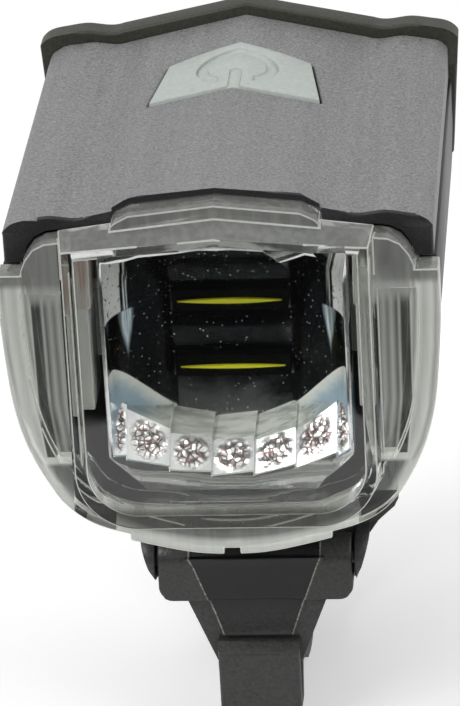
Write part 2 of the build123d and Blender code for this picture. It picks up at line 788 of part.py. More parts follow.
plate_front_y = flange_front - bead_rise
lens_top_z = cover_low_z - face_gap
with BuildPart() as front_lens:
    with BuildSketch(cross_plane(plate_front_y)):
        make_face(body_outline(0, lens_top_z))
        make_face(lip_outline(face_gap))
    extrude(amount=plate_front_y - flange_back)
    with BuildSketch(cross_plane(plate_front_y)):
        make_face(body_outline(bead_w, pocket_top_z))
        with Locations((0, pocket_low_z + lens_half)):
            Rectangle(2 * lens_half, 2 * lens_half, mode=Mode.INTERSECT)
        Rectangle(2 * dome_half, 4 * lens_half, mode=Mode.SUBTRACT)
    extrude(amount=-pocket_depth, mode=Mode.SUBTRACT)
    add(lens_dome.part)
    with BuildSketch(cross_plane(flange_back)):
        make_face(body_outline(tub_inset + tub_wall + skirt_gap, lens_top_z))
        make_face(body_outline(tub_inset + tub_wall + skirt_gap + lens_wall, lens_top_z), mode=Mode.SUBTRACT)
    extrude(amount=-skirt_depth)
    with BuildSketch(cross_plane(plate_front_y)):
        make_face(body_outline(-lip_drop, lens_top_z))
        with Locations((0, -belly_depth)):
            Rectangle(2 * lip_half, 2 * lip_rise, mode=Mode.INTERSECT)
        with Locations((0, -belly_depth - lip_rise)):
            Rectangle(lip_notch, 2 * lip_rise, mode=Mode.SUBTRACT)
    extrude(amount=plate_front_y - flange_back)
    add(dome_hollow.part, mode=Mode.SUBTRACT)

with BuildPart() as lens_seal:
    with BuildSketch(cross_plane(flange_back + seat_gap)):
        make_face(body_outline(tub_inset + tub_wall / 4, tub_top_z))
        make_face(body_outline(tub_inset + tub_wall, tub_top_z), mode=Mode.SUBTRACT)
    extrude(amount=flange_back - tub_front + 2 * seat_gap)

# Reflector: the hollow is built from one slice per facet, each a little out of step with the next
with BuildPart() as mirror_hollow:
    facet_count = len(facet_x_shares) - 1
    for i in range(facet_count):
        for end in (0, 1):
            x = mirror_half * facet_x_shares[i + end]
            rise = facet_step * end
            roof_z = bowl_top_z - (bowl_top_z - bowl_side_z) * abs(facet_x_shares[i + end])
            with BuildSketch(side_plane(x)):
                with BuildLine():
                    Polyline(*[(rim_y + y, lamp_z + z) for y, z in (
                        (mirror_front, belly_depth * facet_low_shares[i + end] + rise),
                        (facet_low_y, belly_depth * facet_low_shares[i + end] + rise),
                        (facet_top_y, belly_depth * facet_top_shares[i + end] + rise),
                        (mirror_back, belly_depth * shelf_shares[i + end] + rise),
                        (mirror_back, roof_z - bowl_roof_drop), (mirror_front, roof_z))], close=True)
                make_face()
        loft(ruled=True)
    with BuildSketch(level_plane(-belly_depth)):
        with BuildLine():
            opening = mirror_half * facet_x_shares[-1]
            Polyline((0, mirror_front), (opening, mirror_front))
            Spline((opening, mirror_front), (bowl_flat_half, bowl_back),
                   tangents=((0, 1), (bowl_turn_share - 1, bowl_turn_share)))
            Line((bowl_flat_half, bowl_back), (0, bowl_back))
            mirror(about=Plane.YZ)
        make_face()
    extrude(amount=2 * lens_half, mode=Mode.INTERSECT)

emitter_half = strip_half + mirror_wall
with BuildPart() as reflector:
    with BuildSketch(cross_plane(mirror_front)):
        make_face(twin_outline([(0, mirror_top_z), (mirror_half, mirror_top_z - bowl_top_z + bowl_side_z),
                                (mirror_half, mirror_low_z + mirror_corner),
                                (mirror_half - mirror_corner, mirror_low_z), (0, mirror_low_z)]))
    extrude(amount=mirror_front - mirror_back)
    add(mirror_hollow.part, mode=Mode.SUBTRACT)
    with BuildSketch(cross_plane(bowl_back)):
        with Locations((0, strip_upper_z), (0, strip_lower_z)):
            Rectangle(2 * (emitter_half + side_gap), led_h + side_gap)
    extrude(amount=bowl_back - mirror_back, mode=Mode.SUBTRACT)
    with BuildSketch(cross_plane(mirror_back)):
        with Locations(*mirror_screw_places()):
            Circle(mirror_screw_r + thread_gap)
    extrude(amount=mirror_screw_bite, mode=Mode.SUBTRACT)

# Light source: packages through the reflector's slots, with a phosphor strip on each
with BuildPart() as led_emitters:
    with BuildSketch(cross_plane(bowl_back - led_proud)):
        with Locations((0, strip_upper_z), (0, strip_lower_z)):
            Rectangle(2 * emitter_half, led_h)
    extrude(amount=bowl_back - led_proud - led_board_y + seat_gap)

with BuildPart() as phosphor_strips:
    for z in (strip_upper_z, strip_lower_z):
        with BuildSketch(cross_plane(bowl_back - led_proud - seat_gap)):
            with BuildLine():
                ThreePointArc((-strip_half, z), (0, z + strip_h / 2), (strip_half, z))
                ThreePointArc((-strip_half, z), (0, z - strip_h / 2), (strip_half, z))
            make_face()
        extrude(amount=strip_h / 2)

with BuildPart() as led_board:
    with BuildSketch(cross_plane(led_board_y)):
        with Locations((0, (led_board_top + led_board_low) / 2)):
            Rectangle(2 * led_board_half, led_board_top - led_board_low)
        with Locations(*mirror_screw_places()):
            Circle(mirror_screw_r + run_gap, mode=Mode.SUBTRACT)
    extrude(amount=seat_gap - led_board_thk)

with BuildPart() as heat_sink:
    with BuildSketch(cross_plane(sink_y)):
        with Locations((0, (led_board_top + led_board_low) / 2)):
            Rectangle(2 * sink_half, led_board_top - led_board_low)
        with Locations(*mirror_screw_places()):
            Circle(mirror_screw_r + run_gap, mode=Mode.SUBTRACT)
    extrude(amount=-sink_plate)
    with BuildSketch(cross_plane(sink_y + sink_plate)):
        with Locations((0, (led_board_top + led_board_low) / 2)):
            with GridLocations(sink_fin_pitch, 0, sink_fins, 1):
                Rectangle(sink_fin_thk, led_board_top - led_board_low)
    extrude(amount=-sink_fin)

reflector_screws = screw_group(cross_plane(sink_y + sink_plate), mirror_screw_places(), mirror_screw_r,
                               sink_plate + led_board_thk + board_gap + mirror_screw_bite - face_gap,
                               mirror_screw_head_r, mirror_screw_head_h)


def light_guide(side):
    """A stepped clear post beside the reflector, with a foot against the reflector's side."""
    with BuildPart() as piece:
        with BuildSketch(level_plane(guide_low_z)):
            with Locations((side * guide_half, (guide_front + guide_back) / 2)):
                Rectangle(guide_w, guide_back - guide_front)
        extrude(amount=guide_top_z - guide_low_z)
        with BuildSketch(level_plane(guide_step_z)):
            with Locations((side * guide_half, (guide_front + guide_back) / 2)):
                Rectangle(guide_wide, guide_back - guide_front)
        extrude(amount=guide_top_z - guide_step_z)
        foot = guide_half - mirror_half - seat_gap
        with BuildSketch(level_plane(guide_foot_z)):
            with Locations((side * (guide_half - foot / 2), guide_back - guide_w / 2)):
                Rectangle(foot, guide_w)
        extrude(amount=guide_step_z - guide_foot_z)
    return piece


light_guide_left = light_guide(-1)
light_guide_right = light_guide(1)

# Main board and what sits on it
with BuildPart() as main_board:
    with BuildSketch(level_plane(board_z)):
        with Locations((0, (board_y0 + board_y1) / 2)):
            Rectangle(2 * board_half, board_y1 - board_y0)
        with Locations(*board_screw_places()):
            Circle(board_screw_r + run_gap, mode=Mode.SUBTRACT)
    extrude(amount=board_thk)

board_screws = screw_group(level_plane(board_z - seat_gap), board_screw_places(), board_screw_r,
                           board_thk + board_bite - face_gap, board_screw_head_r, board_screw_head_h)

with BuildPart() as board_parts:
    for side in (-1, 1):
        with BuildSketch(level_plane(board_top + seat_gap)):
            with Locations((side * chip_x, switch_y)):
                Rectangle(chip_size, chip_size)
            with Locations((side * small_part_x, board_screw_y1)):
                Rectangle(chip_size / 2, chip_size / 4)
        extrude(amount=chip_size / 4)

switch_top = board_top + seat_gap + switch_h
with BuildPart() as tact_switch:
    with BuildSketch(level_plane(board_top + seat_gap)):
        with Locations((0, switch_y)):
            Rectangle(2 * switch_half, 2 * switch_half)
    extrude(amount=switch_h)
    with BuildSketch(level_plane(switch_top)):
        with Locations((0, switch_y)):
            Circle(plunger_r + run_gap)
    extrude(amount=-2 * button_travel - plunger_seat - run_gap, mode=Mode.SUBTRACT)

with BuildPart() as switch_plunger:
    with BuildSketch(level_plane(switch_top - button_travel - plunger_seat)):
        with Locations((0, switch_y)):
            Circle(plunger_r)
    extrude(amount=plunger_h + button_travel + plunger_seat)

with BuildPart() as indicator_leds:
    with BuildSketch(level_plane(board_top + seat_gap)):
        with Locations((-led_half, led_y), (led_half, led_y)):
            Rectangle(led_size, led_size)
    extrude(amount=led_chip_h)

socket_mouth = cover_len + run_gap
with BuildPart() as usb_socket:
    with BuildSketch(cross_plane(socket_mouth)):
        with Locations((0, port_z - seat_gap)):
            RectangleRounded(2 * socket_half, socket_h, socket_h / 3)
    extrude(amount=socket_len)
    with BuildSketch(cross_plane(socket_mouth)):
        with Locations((0, port_z - seat_gap)):
            RectangleRounded(2 * (socket_half - socket_wall), socket_h - 2 * socket_wall, socket_h / 4)
            Rectangle(socket_half, socket_wall, mode=Mode.SUBTRACT)
    extrude(amount=socket_len - socket_wall, mode=Mode.SUBTRACT)

# Button: a thick cap that follows the roof, a flange under the cover and a stem down to the plunger
stem_low = switch_top + plunger_h + seat_gap
with BuildPart() as button_flange:
    with BuildSketch(level_plane(board_top)):
        make_face(button_outline())
        offset(amount=button_lap)
    extrude(amount=roof_rise)
    with BuildSketch(cross_plane(0)):
        make_face(roof_outline(cover_wall + seat_gap, 0, half_w))
        make_face(roof_outline(button_thk, -overrun, half_w), mode=Mode.SUBTRACT)
    extrude(amount=-cover_len, mode=Mode.INTERSECT)

with BuildPart() as button_mark:
    with BuildSketch(level_plane(board_top)):
        with Locations((0, mark_y)):
            Circle(mark_r + mark_w / 2)
            Circle(mark_r - mark_w / 2, mode=Mode.SUBTRACT)
            Rectangle(mark_gap, 4 * mark_r, align=(Align.CENTER, Align.MAX), mode=Mode.SUBTRACT)
        with Locations((0, mark_y - mark_r)):
            Rectangle(mark_w, mark_r + mark_w)
    extrude(amount=roof_rise)
    with BuildSketch(cross_plane(0)):
        make_face(roof_outline(-overrun, 0, half_w))
        make_face(roof_outline(mark_depth - button_proud, -overrun, half_w), mode=Mode.SUBTRACT)
    extrude(amount=-cover_len, mode=Mode.INTERSECT)

with BuildPart() as push_button:
    with BuildSketch(level_plane(board_top)):
        make_face(button_outline())
    extrude(amount=roof_rise)
    with BuildSketch(cross_plane(0)):
        make_face(roof_outline(-button_proud, 0, half_w))
        make_face(roof_outline(button_thk, -overrun, half_w), mode=Mode.SUBTRACT)
    extrude(amount=-cover_len, mode=Mode.INTERSECT)
    add(button_flange.part)
    with BuildSketch(level_plane(stem_low)):
        with Locations((0, switch_y)):
            Circle(stem_r)
    extrude(amount=roof_rise - stem_low - cover_wall)
    add(button_mark.part, mode=Mode.SUBTRACT)

# Battery: two cells on edge in a tray, with a foam pad between them
cell_y1 = cell_y0 + cell_thk + cell_gap


def battery_cell(y):
    """One cell whose front face stands at this depth."""
    with BuildPart() as piece:
        with BuildSketch(cross_plane(y)):
            with Locations((0, cell_low_z + cell_h / 2)):
                RectangleRounded(2 * cell_half, cell_h, cell_round)
        extrude(amount=-cell_thk)
    return piece


battery_cell_front = battery_cell(cell_y0)
battery_cell_rear = battery_cell(cell_y1)

with BuildPart() as battery_pad:
    with BuildSketch(cross_plane(cell_y0 + cell_thk + seat_gap)):
        with Locations((0, cell_low_z + cell_h / 2)):
            Rectangle(2 * cell_half - 2 * cell_round, cell_h - 2 * cell_round)
    extrude(amount=2 * seat_gap - cell_gap)

with BuildPart() as battery_tray:
    with BuildSketch(level_plane(cell_low_z - tray_wall)):
        with Locations((0, (cell_y0 + cell_y1 + cell_thk) / 2)):
            Rectangle(2 * (cell_half + side_gap + tray_wall),
                      cell_y1 + cell_thk - cell_y0 + 2 * (side_gap + tray_wall))
    extrude(amount=tray_wall_h)
    with BuildSketch(level_plane(cell_low_z - seat_gap)):
        with Locations((0, (cell_y0 + cell_y1 + cell_thk) / 2)):
            Rectangle(2 * (cell_half + side_gap), cell_y1 + cell_thk - cell_y0 + 2 * side_gap)
    extrude(amount=tray_wall_h, mode=Mode.SUBTRACT)

pieces = {
    "bracket_body": bracket_body, "saddle_pad": saddle_pad, "swivel_washer": swivel_washer,
    "swivel_screw": swivel_screw, "lever_pin": lever_pin, "jaw_pin": jaw_pin, "clamp_lever": clamp_lever,
    "clamp_jaw": clamp_jaw, "jaw_pad": jaw_pad, "top_cover": top_cover, "lower_housing": lower_housing,
    "housing_screws": housing_screws, "housing_seals": housing_seals, "rear_cap": rear_cap,
    "rear_cap_screws": rear_cap_screws, "usb_cover": usb_cover, "front_lens": front_lens,
    "lens_seal": lens_seal, "reflector": reflector, "led_emitters": led_emitters,
    "phosphor_strips": phosphor_strips, "led_board": led_board, "heat_sink": heat_sink,
    "reflector_screws": reflector_screws,
    "light_guide_left": light_guide_left, "light_guide_right": light_guide_right, "main_board": main_board,
    "board_screws": board_screws, "board_parts": board_parts, "tact_switch": tact_switch,
    "switch_plunger": switch_plunger, "indicator_leds": indicator_leds, "usb_socket": usb_socket,
    "push_button": push_button, "battery_cell_front": battery_cell_front,
    "battery_cell_rear": battery_cell_rear, "battery_pad": battery_pad, "battery_tray": battery_tray,
}
os.makedirs("parts", exist_ok=True)
for name, piece in pieces.items():
    piece.part.label = name
    export_step(piece.part, f"parts/{name}.step")
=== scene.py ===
# %% [markdown]
# # A bike headlight, dressed in Blender
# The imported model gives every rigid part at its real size, in metres, with the origin on the handlebar's
# axis. X runs along the bar, the lamp shines towards -Y and Z is up. This lesson adds light, a camera,
# finishes and the fine forms that a CAD file leaves out. The CAD parts stay where they are, and new pieces
# ride on the same bodies.

# %% Load the frame
import json
import math

import bpy
from mathutils import Matrix, Vector


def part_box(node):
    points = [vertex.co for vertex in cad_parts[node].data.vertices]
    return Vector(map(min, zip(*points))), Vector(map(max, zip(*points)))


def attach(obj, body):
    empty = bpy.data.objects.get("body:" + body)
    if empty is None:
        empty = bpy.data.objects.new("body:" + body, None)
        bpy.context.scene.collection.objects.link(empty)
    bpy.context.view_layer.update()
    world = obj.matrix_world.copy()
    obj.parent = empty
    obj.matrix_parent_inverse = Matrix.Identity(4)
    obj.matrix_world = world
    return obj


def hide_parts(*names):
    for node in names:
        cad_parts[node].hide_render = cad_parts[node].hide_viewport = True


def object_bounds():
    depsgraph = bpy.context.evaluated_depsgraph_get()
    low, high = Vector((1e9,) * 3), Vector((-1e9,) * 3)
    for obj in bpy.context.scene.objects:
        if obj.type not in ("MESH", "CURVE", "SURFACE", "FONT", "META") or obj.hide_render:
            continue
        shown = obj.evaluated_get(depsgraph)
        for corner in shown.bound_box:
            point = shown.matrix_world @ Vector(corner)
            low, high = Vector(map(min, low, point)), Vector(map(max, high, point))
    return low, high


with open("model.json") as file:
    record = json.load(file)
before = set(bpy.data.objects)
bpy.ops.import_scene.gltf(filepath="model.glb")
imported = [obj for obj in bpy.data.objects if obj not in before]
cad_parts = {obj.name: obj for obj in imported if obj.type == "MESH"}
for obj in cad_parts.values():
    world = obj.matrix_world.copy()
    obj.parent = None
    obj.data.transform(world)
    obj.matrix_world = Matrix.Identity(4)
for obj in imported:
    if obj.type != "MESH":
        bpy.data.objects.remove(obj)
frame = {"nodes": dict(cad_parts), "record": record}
cad_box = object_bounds()
bpy.ops.object.select_all(action="DESELECT")

# %% [markdown]
# ## Camera
# The photograph looks down on the lamp from a little to its left, from half a metre away with a long lens.
# The three directions of such a camera come from two turns and a roll, and the view is the photograph's
# frame.

# %% Camera
YAW, ELEVATION, ROLL = -0.0956, 0.4349, -0.0566
EYE = Vector((0.0443, -0.5053, 0.2566))
PHOTO_W, PHOTO_H, FOCAL_PX = 460, 706, 4880.0
AXIS_X_PX, AXIS_Y_PX = 224.28, 354.62
SENSOR_MM, NEAREST, FARTHEST = 36.0, 0.02, 20.0

ahead = Vector((math.sin(YAW) * math.cos(ELEVATION), math.cos(YAW) * math.cos(ELEVATION),
                -math.sin(ELEVATION)))
level_right = Vector((math.cos(YAW), -math.sin(YAW), 0))
level_up = level_right.cross(ahead)
right = level_right * math.cos(ROLL) + level_up * math.sin(ROLL)
up = level_up * math.cos(ROLL) - level_right * math.sin(ROLL)

lens_data = bpy.data.cameras.new("camera")
lens_data.sensor_fit = "VERTICAL"
lens_data.sensor_height = SENSOR_MM
lens_data.lens = lens_data.sensor_height * FOCAL_PX / PHOTO_H
lens_data.shift_x = (PHOTO_W / 2 - AXIS_X_PX) / PHOTO_H
lens_data.shift_y = (AXIS_Y_PX - PHOTO_H / 2) / PHOTO_H
lens_data.clip_start, lens_data.clip_end = NEAREST, FARTHEST
camera = bpy.data.objects.new("camera", lens_data)
bpy.context.scene.collection.objects.link(camera)
camera.matrix_world = Matrix.Translation(EYE) @ Matrix((right, up, -ahead)).transposed().to_4x4()
bpy.context.scene.camera = camera
print("camera lens", round(lens_data.lens, 1), "mm")

# %% [markdown]
# ## Helpers for shaders
# The light and the finishes are built from nodes. These helpers add a node, do a sum or lay one range over
# another. All but the first give the socket that the next node takes.

# %% Helpers for nodes
def new_node(tree, kind, **settings):
    """A node of this kind with its settings and, by socket name, its input values."""
    node = tree.nodes.new("ShaderNode" + kind)
    for key, value in settings.items():
        if key in node.inputs:
            node.inputs[key].default_value = value
        else:
            setattr(node, key, value)
    return node


def maths(tree, operation, *values):
    """The result of a Math node whose inputs are numbers or sockets."""
    node = new_node(tree, "Math", operation=operation)
    for socket, value in zip(node.inputs, values):
        if isinstance(value, (int, float)):
            socket.default_value = value
        else:
            tree.links.new(value, socket)
    return node.outputs[0]


def step_up(tree, value, low, high, to_low=0.0, to_high=1.0, kind="SMOOTHSTEP"):
    """A step of the value from low to high, smooth at its ends unless kind says otherwise."""
    node = new_node(tree, "MapRange", interpolation_type=kind)
    for socket, level in (("From Min", low), ("From Max", high), ("To Min", to_low), ("To Max", to_high)):
        node.inputs[socket].default_value = level
    tree.links.new(value, node.inputs["Value"])
    return node.outputs["Result"]


def spread(tree, value, low, high, to_low=0.0, to_high=1.0):
    """The value with low to high laid evenly over to_low to to_high."""
    return step_up(tree, value, low, high, to_low, to_high, "LINEAR")


# %% [markdown]
# ## Light
# A product photograph is lit by large soft boxes. Here the world is the soft light from all round, with a
# dark side low in front of the lamp, and two area lamps give the light a direction.

# %% World
WORLD_FILL, FRONT_FILL, FRONT_SEEN = 0.72, 0.6, 0.03
DARK_FRONT, DARK_LOW = (-0.2, -0.55), (0.5, 0.2)

scene = bpy.context.scene
scene.view_settings.view_transform = "Standard"
world = bpy.data.worlds.new("studio")
scene.world = world
world.use_nodes = True
sky = world.node_tree
sky.nodes.clear()
sky_at = new_node(sky, "TexCoord")
sky_xyz = new_node(sky, "SeparateXYZ")
sky.links.new(sky_at.outputs["Generated"], sky_xyz.inputs[0])
sky_dark = maths(sky, "MULTIPLY", step_up(sky, sky_xyz.outputs["Y"], *DARK_FRONT),
                 step_up(sky, sky_xyz.outputs["Z"], *DARK_LOW))

# %% [markdown]
# Three backgrounds share the world: the fill that lights matt surfaces, the studio that gloss and glass
# show, with its dark side low in front of the lamp, and plain white for the camera.

# %% Three backgrounds in one world
def studio_light(strength, dark_share):
    """A background of this strength whose low front side has dark_share of it."""
    light = new_node(sky, "Background")
    level = step_up(sky, sky_dark, 0.0, 1.0, strength, strength * dark_share)
    sky.links.new(level, light.inputs["Strength"])
    return light


def mix_light(first, second, factor):
    """A mix of two backgrounds by a factor socket."""
    mixed = new_node(sky, "MixShader")
    sky.links.new(factor, mixed.inputs["Fac"])
    sky.links.new(first.outputs[0], mixed.inputs[1])
    sky.links.new(second.outputs[0], mixed.inputs[2])
    return mixed


sky_path = new_node(sky, "LightPath")
sky_shine = maths(sky, "MAXIMUM", sky_path.outputs["Is Glossy Ray"], sky_path.outputs["Is Transmission Ray"])
sky_lit = mix_light(studio_light(WORLD_FILL, FRONT_FILL), studio_light(1.0, FRONT_SEEN), sky_shine)
sky_white = new_node(sky, "Background", Strength=1.0)
sky_white.inputs["Color"].default_value = (1, 1, 1, 1)
sky_all = mix_light(sky_lit, sky_white, sky_path.outputs["Is Camera Ray"])
sky_out = new_node(sky, "OutputWorld")
sky.links.new(sky_all.outputs[0], sky_out.inputs["Surface"])
print("backgrounds:", sum(node.type == "BACKGROUND" for node in sky.nodes))

# %% [markdown]
# The stronger lamp stands high on the left and makes the shadow. The weaker one opens up the right side.

# %% Lamps
LAMP_MIDDLE = (0, -0.02, 0.03)
KEY_PLACE, KEY_SIZE, KEY_WATTS = (-0.55, -0.55, 0.75), (0.5, 0.5), 4.6
FILL_PLACE, FILL_SIZE, FILL_WATTS = (0.7, -0.35, 0.45), (0.4, 0.6), 1.8


def soft_box(name, place, aim, size, watts):
    """Add an area lamp at place that points at aim."""
    lamp = bpy.data.lights.new(name, "AREA")
    lamp.shape = "RECTANGLE"
    lamp.size, lamp.size_y = size
    lamp.energy = watts
    box = bpy.data.objects.new(name, lamp)
    scene.collection.objects.link(box)
    box.location = place
    box.rotation_euler = (Vector(aim) - Vector(place)).to_track_quat("-Z", "Y").to_euler()


soft_box("key_soft_box", KEY_PLACE, LAMP_MIDDLE, KEY_SIZE, KEY_WATTS)
soft_box("fill_soft_box", FILL_PLACE, LAMP_MIDDLE, FILL_SIZE, FILL_WATTS)

# %% [markdown]
# ## Floor
# The lamp stands on the lowest point of its clamp. The floor is a plain pale sheet that keeps the shadow.

# %% Floor
FLOOR_R, FLOOR_SIDES, FLOOR_GAP = 0.16, 96, 0.0002

floor_z = cad_box[0][2] - FLOOR_GAP
bpy.ops.mesh.primitive_circle_add(vertices=FLOOR_SIDES, radius=FLOOR_R, fill_type="NGON",
                                  location=(0, 0, floor_z))
floor = bpy.context.object
floor.name = "floor"
print("floor at", round(floor_z * 1000, 1), "mm")

# %% [markdown]
# ## Shader groups
# Effects that several finishes share are built once, as node groups with named sockets. Each puts out only a
# mask, a value or a colour, and the Principled shader stays in the material itself.

# %% A builder for groups
def new_group(name, inputs, outputs):
    """An empty shader group with float inputs and outputs, and its two end nodes."""
    tree = bpy.data.node_groups.new(name, "ShaderNodeTree")
    for socket, value in inputs.items():
        tree.interface.new_socket(socket, in_out="INPUT", socket_type="NodeSocketFloat").default_value = value
    for socket in outputs:
        tree.interface.new_socket(socket, in_out="OUTPUT", socket_type="NodeSocketFloat")
    return tree, tree.nodes.new("NodeGroupInput"), tree.nodes.new("NodeGroupOutput")


# %% [markdown]
# The first group is the grain that a spark-eroded mould leaves: a tone from fine noise, and a height from
# small cells for the relief.

# %% Group: the grain of moulded plastic
GRAIN_BAND = (0.3, 0.7)

grain, grain_in, grain_out = new_group("Moulded grain", {"Size": 4000.0}, ["Tone", "Height"])
grain_at = new_node(grain, "TexCoord")
grain_fine = new_node(grain, "TexNoise", Detail=3.0, Roughness=0.65)
grain_cells = new_node(grain, "TexVoronoi")
for node in (grain_fine, grain_cells):
    grain.links.new(grain_at.outputs["Object"], node.inputs["Vector"])
    grain.links.new(grain_in.outputs["Size"], node.inputs["Scale"])
grain.links.new(spread(grain, grain_fine.outputs["Fac"], *GRAIN_BAND), grain_out.inputs["Tone"])
grain.links.new(grain_cells.outputs["Distance"], grain_out.inputs["Height"])
print("group:", grain.name)

# %% [markdown]
# The second group is what handling leaves: a soft cloud for fingers, and the middles of a few cells for dust.

# %% Group: smudges and dust
DUST_BAND = (0.16, 0.05)

wear, wear_in, wear_out = new_group("Handling marks", {"Size": 120.0, "Dust size": 2600.0},
                                    ["Smudge", "Dust"])
wear_at = new_node(wear, "TexCoord")
wear_cloud = new_node(wear, "TexNoise", Detail=4.0, Roughness=0.6, Distortion=0.4)
wear_dots = new_node(wear, "TexVoronoi")
for node, size in ((wear_cloud, "Size"), (wear_dots, "Dust size")):
    wear.links.new(wear_at.outputs["Object"], node.inputs["Vector"])
    wear.links.new(wear_in.outputs[size], node.inputs["Scale"])
wear.links.new(wear_cloud.outputs["Fac"], wear_out.inputs["Smudge"])
wear.links.new(spread(wear, wear_dots.outputs["Distance"], *DUST_BAND), wear_out.inputs["Dust"])
print("group:", wear.name)

# %% [markdown]
# The third group draws noise out into streaks. They run along the axis whose share is small.

# %% Group: drawn streaks
STREAK_BAND = (0.36, 0.64)

drawn, drawn_in, drawn_out = new_group("Drawn streaks", {"Size": 900.0, "X": 1.0, "Y": 1.0, "Z": 0.06},
                                       ["Streak"])
drawn_at = new_node(drawn, "TexCoord")
drawn_share = new_node(drawn, "CombineXYZ")
drawn_squash = new_node(drawn, "VectorMath", operation="MULTIPLY")
drawn_noise = new_node(drawn, "TexNoise", Detail=3.0, Roughness=0.6)
for axis in "XYZ":
    drawn.links.new(drawn_in.outputs[axis], drawn_share.inputs[axis])
drawn.links.new(drawn_at.outputs["Object"], drawn_squash.inputs[0])
drawn.links.new(drawn_share.outputs[0], drawn_squash.inputs[1])
drawn.links.new(drawn_squash.outputs[0], drawn_noise.inputs["Vector"])
drawn.links.new(drawn_in.outputs["Size"], drawn_noise.inputs["Scale"])
drawn_level = step_up(drawn, drawn_noise.outputs["Fac"], *STREAK_BAND)
drawn.links.new(drawn_level, drawn_out.inputs["Streak"])
print("groups:", [g.name for g in bpy.data.node_groups])

# %% [markdown]
# A few more helpers keep the finishes short. They read a coordinate, blend two tones, look a level up on a
# curve, vary a roughness and start a material.

# %% Helpers for finishes
SMUDGE_BAND = (0.35, 0.75)


def along(tree, axis):
    """The object coordinate along this axis, in metres."""
    at, parts = new_node(tree, "TexCoord"), new_node(tree, "SeparateXYZ")
    tree.links.new(at.outputs["Object"], parts.inputs[0])
    return parts.outputs[axis]


def blend_tones(tree, factor, first, second):
    """A colour that goes from first to second, each a colour or a socket."""
    node = new_node(tree, "Mix", data_type="RGBA")
    tree.links.new(factor, node.inputs[0])
    for socket, tone in ((node.inputs[6], first), (node.inputs[7], second)):
        if isinstance(tone, tuple):
            socket.default_value = (*tone, 1)
        else:
            tree.links.new(tone, socket)
    return node.outputs[2]


def curve(tree, value, points):
    """What the points say of a value: each is a place from 0 to 1 and the level there."""
    node = new_node(tree, "ValToRGB")
    tree.links.new(value, node.inputs["Fac"])
    stops = node.color_ramp.elements
    stops[0].position, stops[1].position = points[0][0], points[-1][0]
    for place, _ in points[1:-1]:
        stops.new(place)
    for stop, (place, level) in zip(stops, points):
        stop.color = (level, level, level, 1)
    return node.outputs["Color"]


def smudged(tree, shader, low, high, band=SMUDGE_BAND):
    """Let the handling marks vary the roughness from low to high."""
    marks = new_node(tree, "Group", node_tree=wear)
    gloss = step_up(tree, marks.outputs["Smudge"], *band, low, high)
    tree.links.new(gloss, shader.inputs["Roughness"])


def new_finish(name, **plain):
    """A material with plain values on its shader; gives the material, its tree and its shader."""
    material = bpy.data.materials.new(name)
    material.use_nodes = True
    shader = material.node_tree.nodes["Principled BSDF"]
    for socket, value in plain.items():
        shader.inputs[socket.replace("_", " ")].default_value = value
    return material, material.node_tree, shader


# %% [markdown]
# The floor's paper has a faint fibre. It fades into the white background before its edge, and a little glow
# that only the camera sees lifts it to white, so that it adds no light to the lamp.

# %% Floor paper
PAPER_LIFT, PAPER_ROUGH, PAPER_SHINE = 0.3, 0.9, 0.2
FADE_FROM, FADE_TO = 0.55 * FLOOR_R, 0.97 * FLOOR_R
PAPER_DARK, PAPER_PALE = (0.93, 0.93, 0.93), (0.96, 0.96, 0.96)

floor_paper, paper, paper_shader = new_finish("floor paper", Roughness=PAPER_ROUGH,
                                              Specular_IOR_Level=PAPER_SHINE, Emission_Color=(1, 1, 1, 1))
paper_at, paper_path = new_node(paper, "TexCoord"), new_node(paper, "LightPath")
paper_far = new_node(paper, "VectorMath", operation="LENGTH")
paper_fibre = new_node(paper, "TexNoise", Scale=900.0, Detail=2.0)
paper_glow, paper_mix = new_node(paper, "Emission"), new_node(paper, "MixShader")
paper.links.new(paper_at.outputs["Object"], paper_far.inputs[0])
paper.links.new(paper_at.outputs["Object"], paper_fibre.inputs["Vector"])
paper_lift = maths(paper, "MULTIPLY", paper_path.outputs["Is Camera Ray"], PAPER_LIFT)
paper_tone = blend_tones(paper, paper_fibre.outputs["Fac"], PAPER_DARK, PAPER_PALE)
paper_edge = step_up(paper, paper_far.outputs["Value"], FADE_FROM, FADE_TO)
paper.links.new(paper_lift, paper_shader.inputs["Emission Strength"])
paper.links.new(paper_tone, paper_shader.inputs["Base Color"])
paper.links.new(paper_edge, paper_mix.inputs["Fac"])
paper.links.new(paper_shader.outputs[0], paper_mix.inputs[1])
paper.links.new(paper_glow.outputs[0], paper_mix.inputs[2])
paper.links.new(paper_mix.outputs[0], paper.nodes["Material Output"].inputs["Surface"])
floor.data.materials.append(floor_paper)
print("floor paper:", floor_paper.name)

# %% [markdown]
# ## Finishes
# Most pieces are moulded plastic, stamped metal or rubber. They differ in their two tones, in how fine the
# grain is and in how rough they are, so one builder makes them all from those facts. Clear plastic and the
# mirror coat follow on their own.

# %% A builder for plain finishes
GLOSS_RANGE, RELIEF_STRENGTH = 0.06, 0.6
RUBBED_SIZE, RUBBED_ALONG_Y = 420.0, 0.05


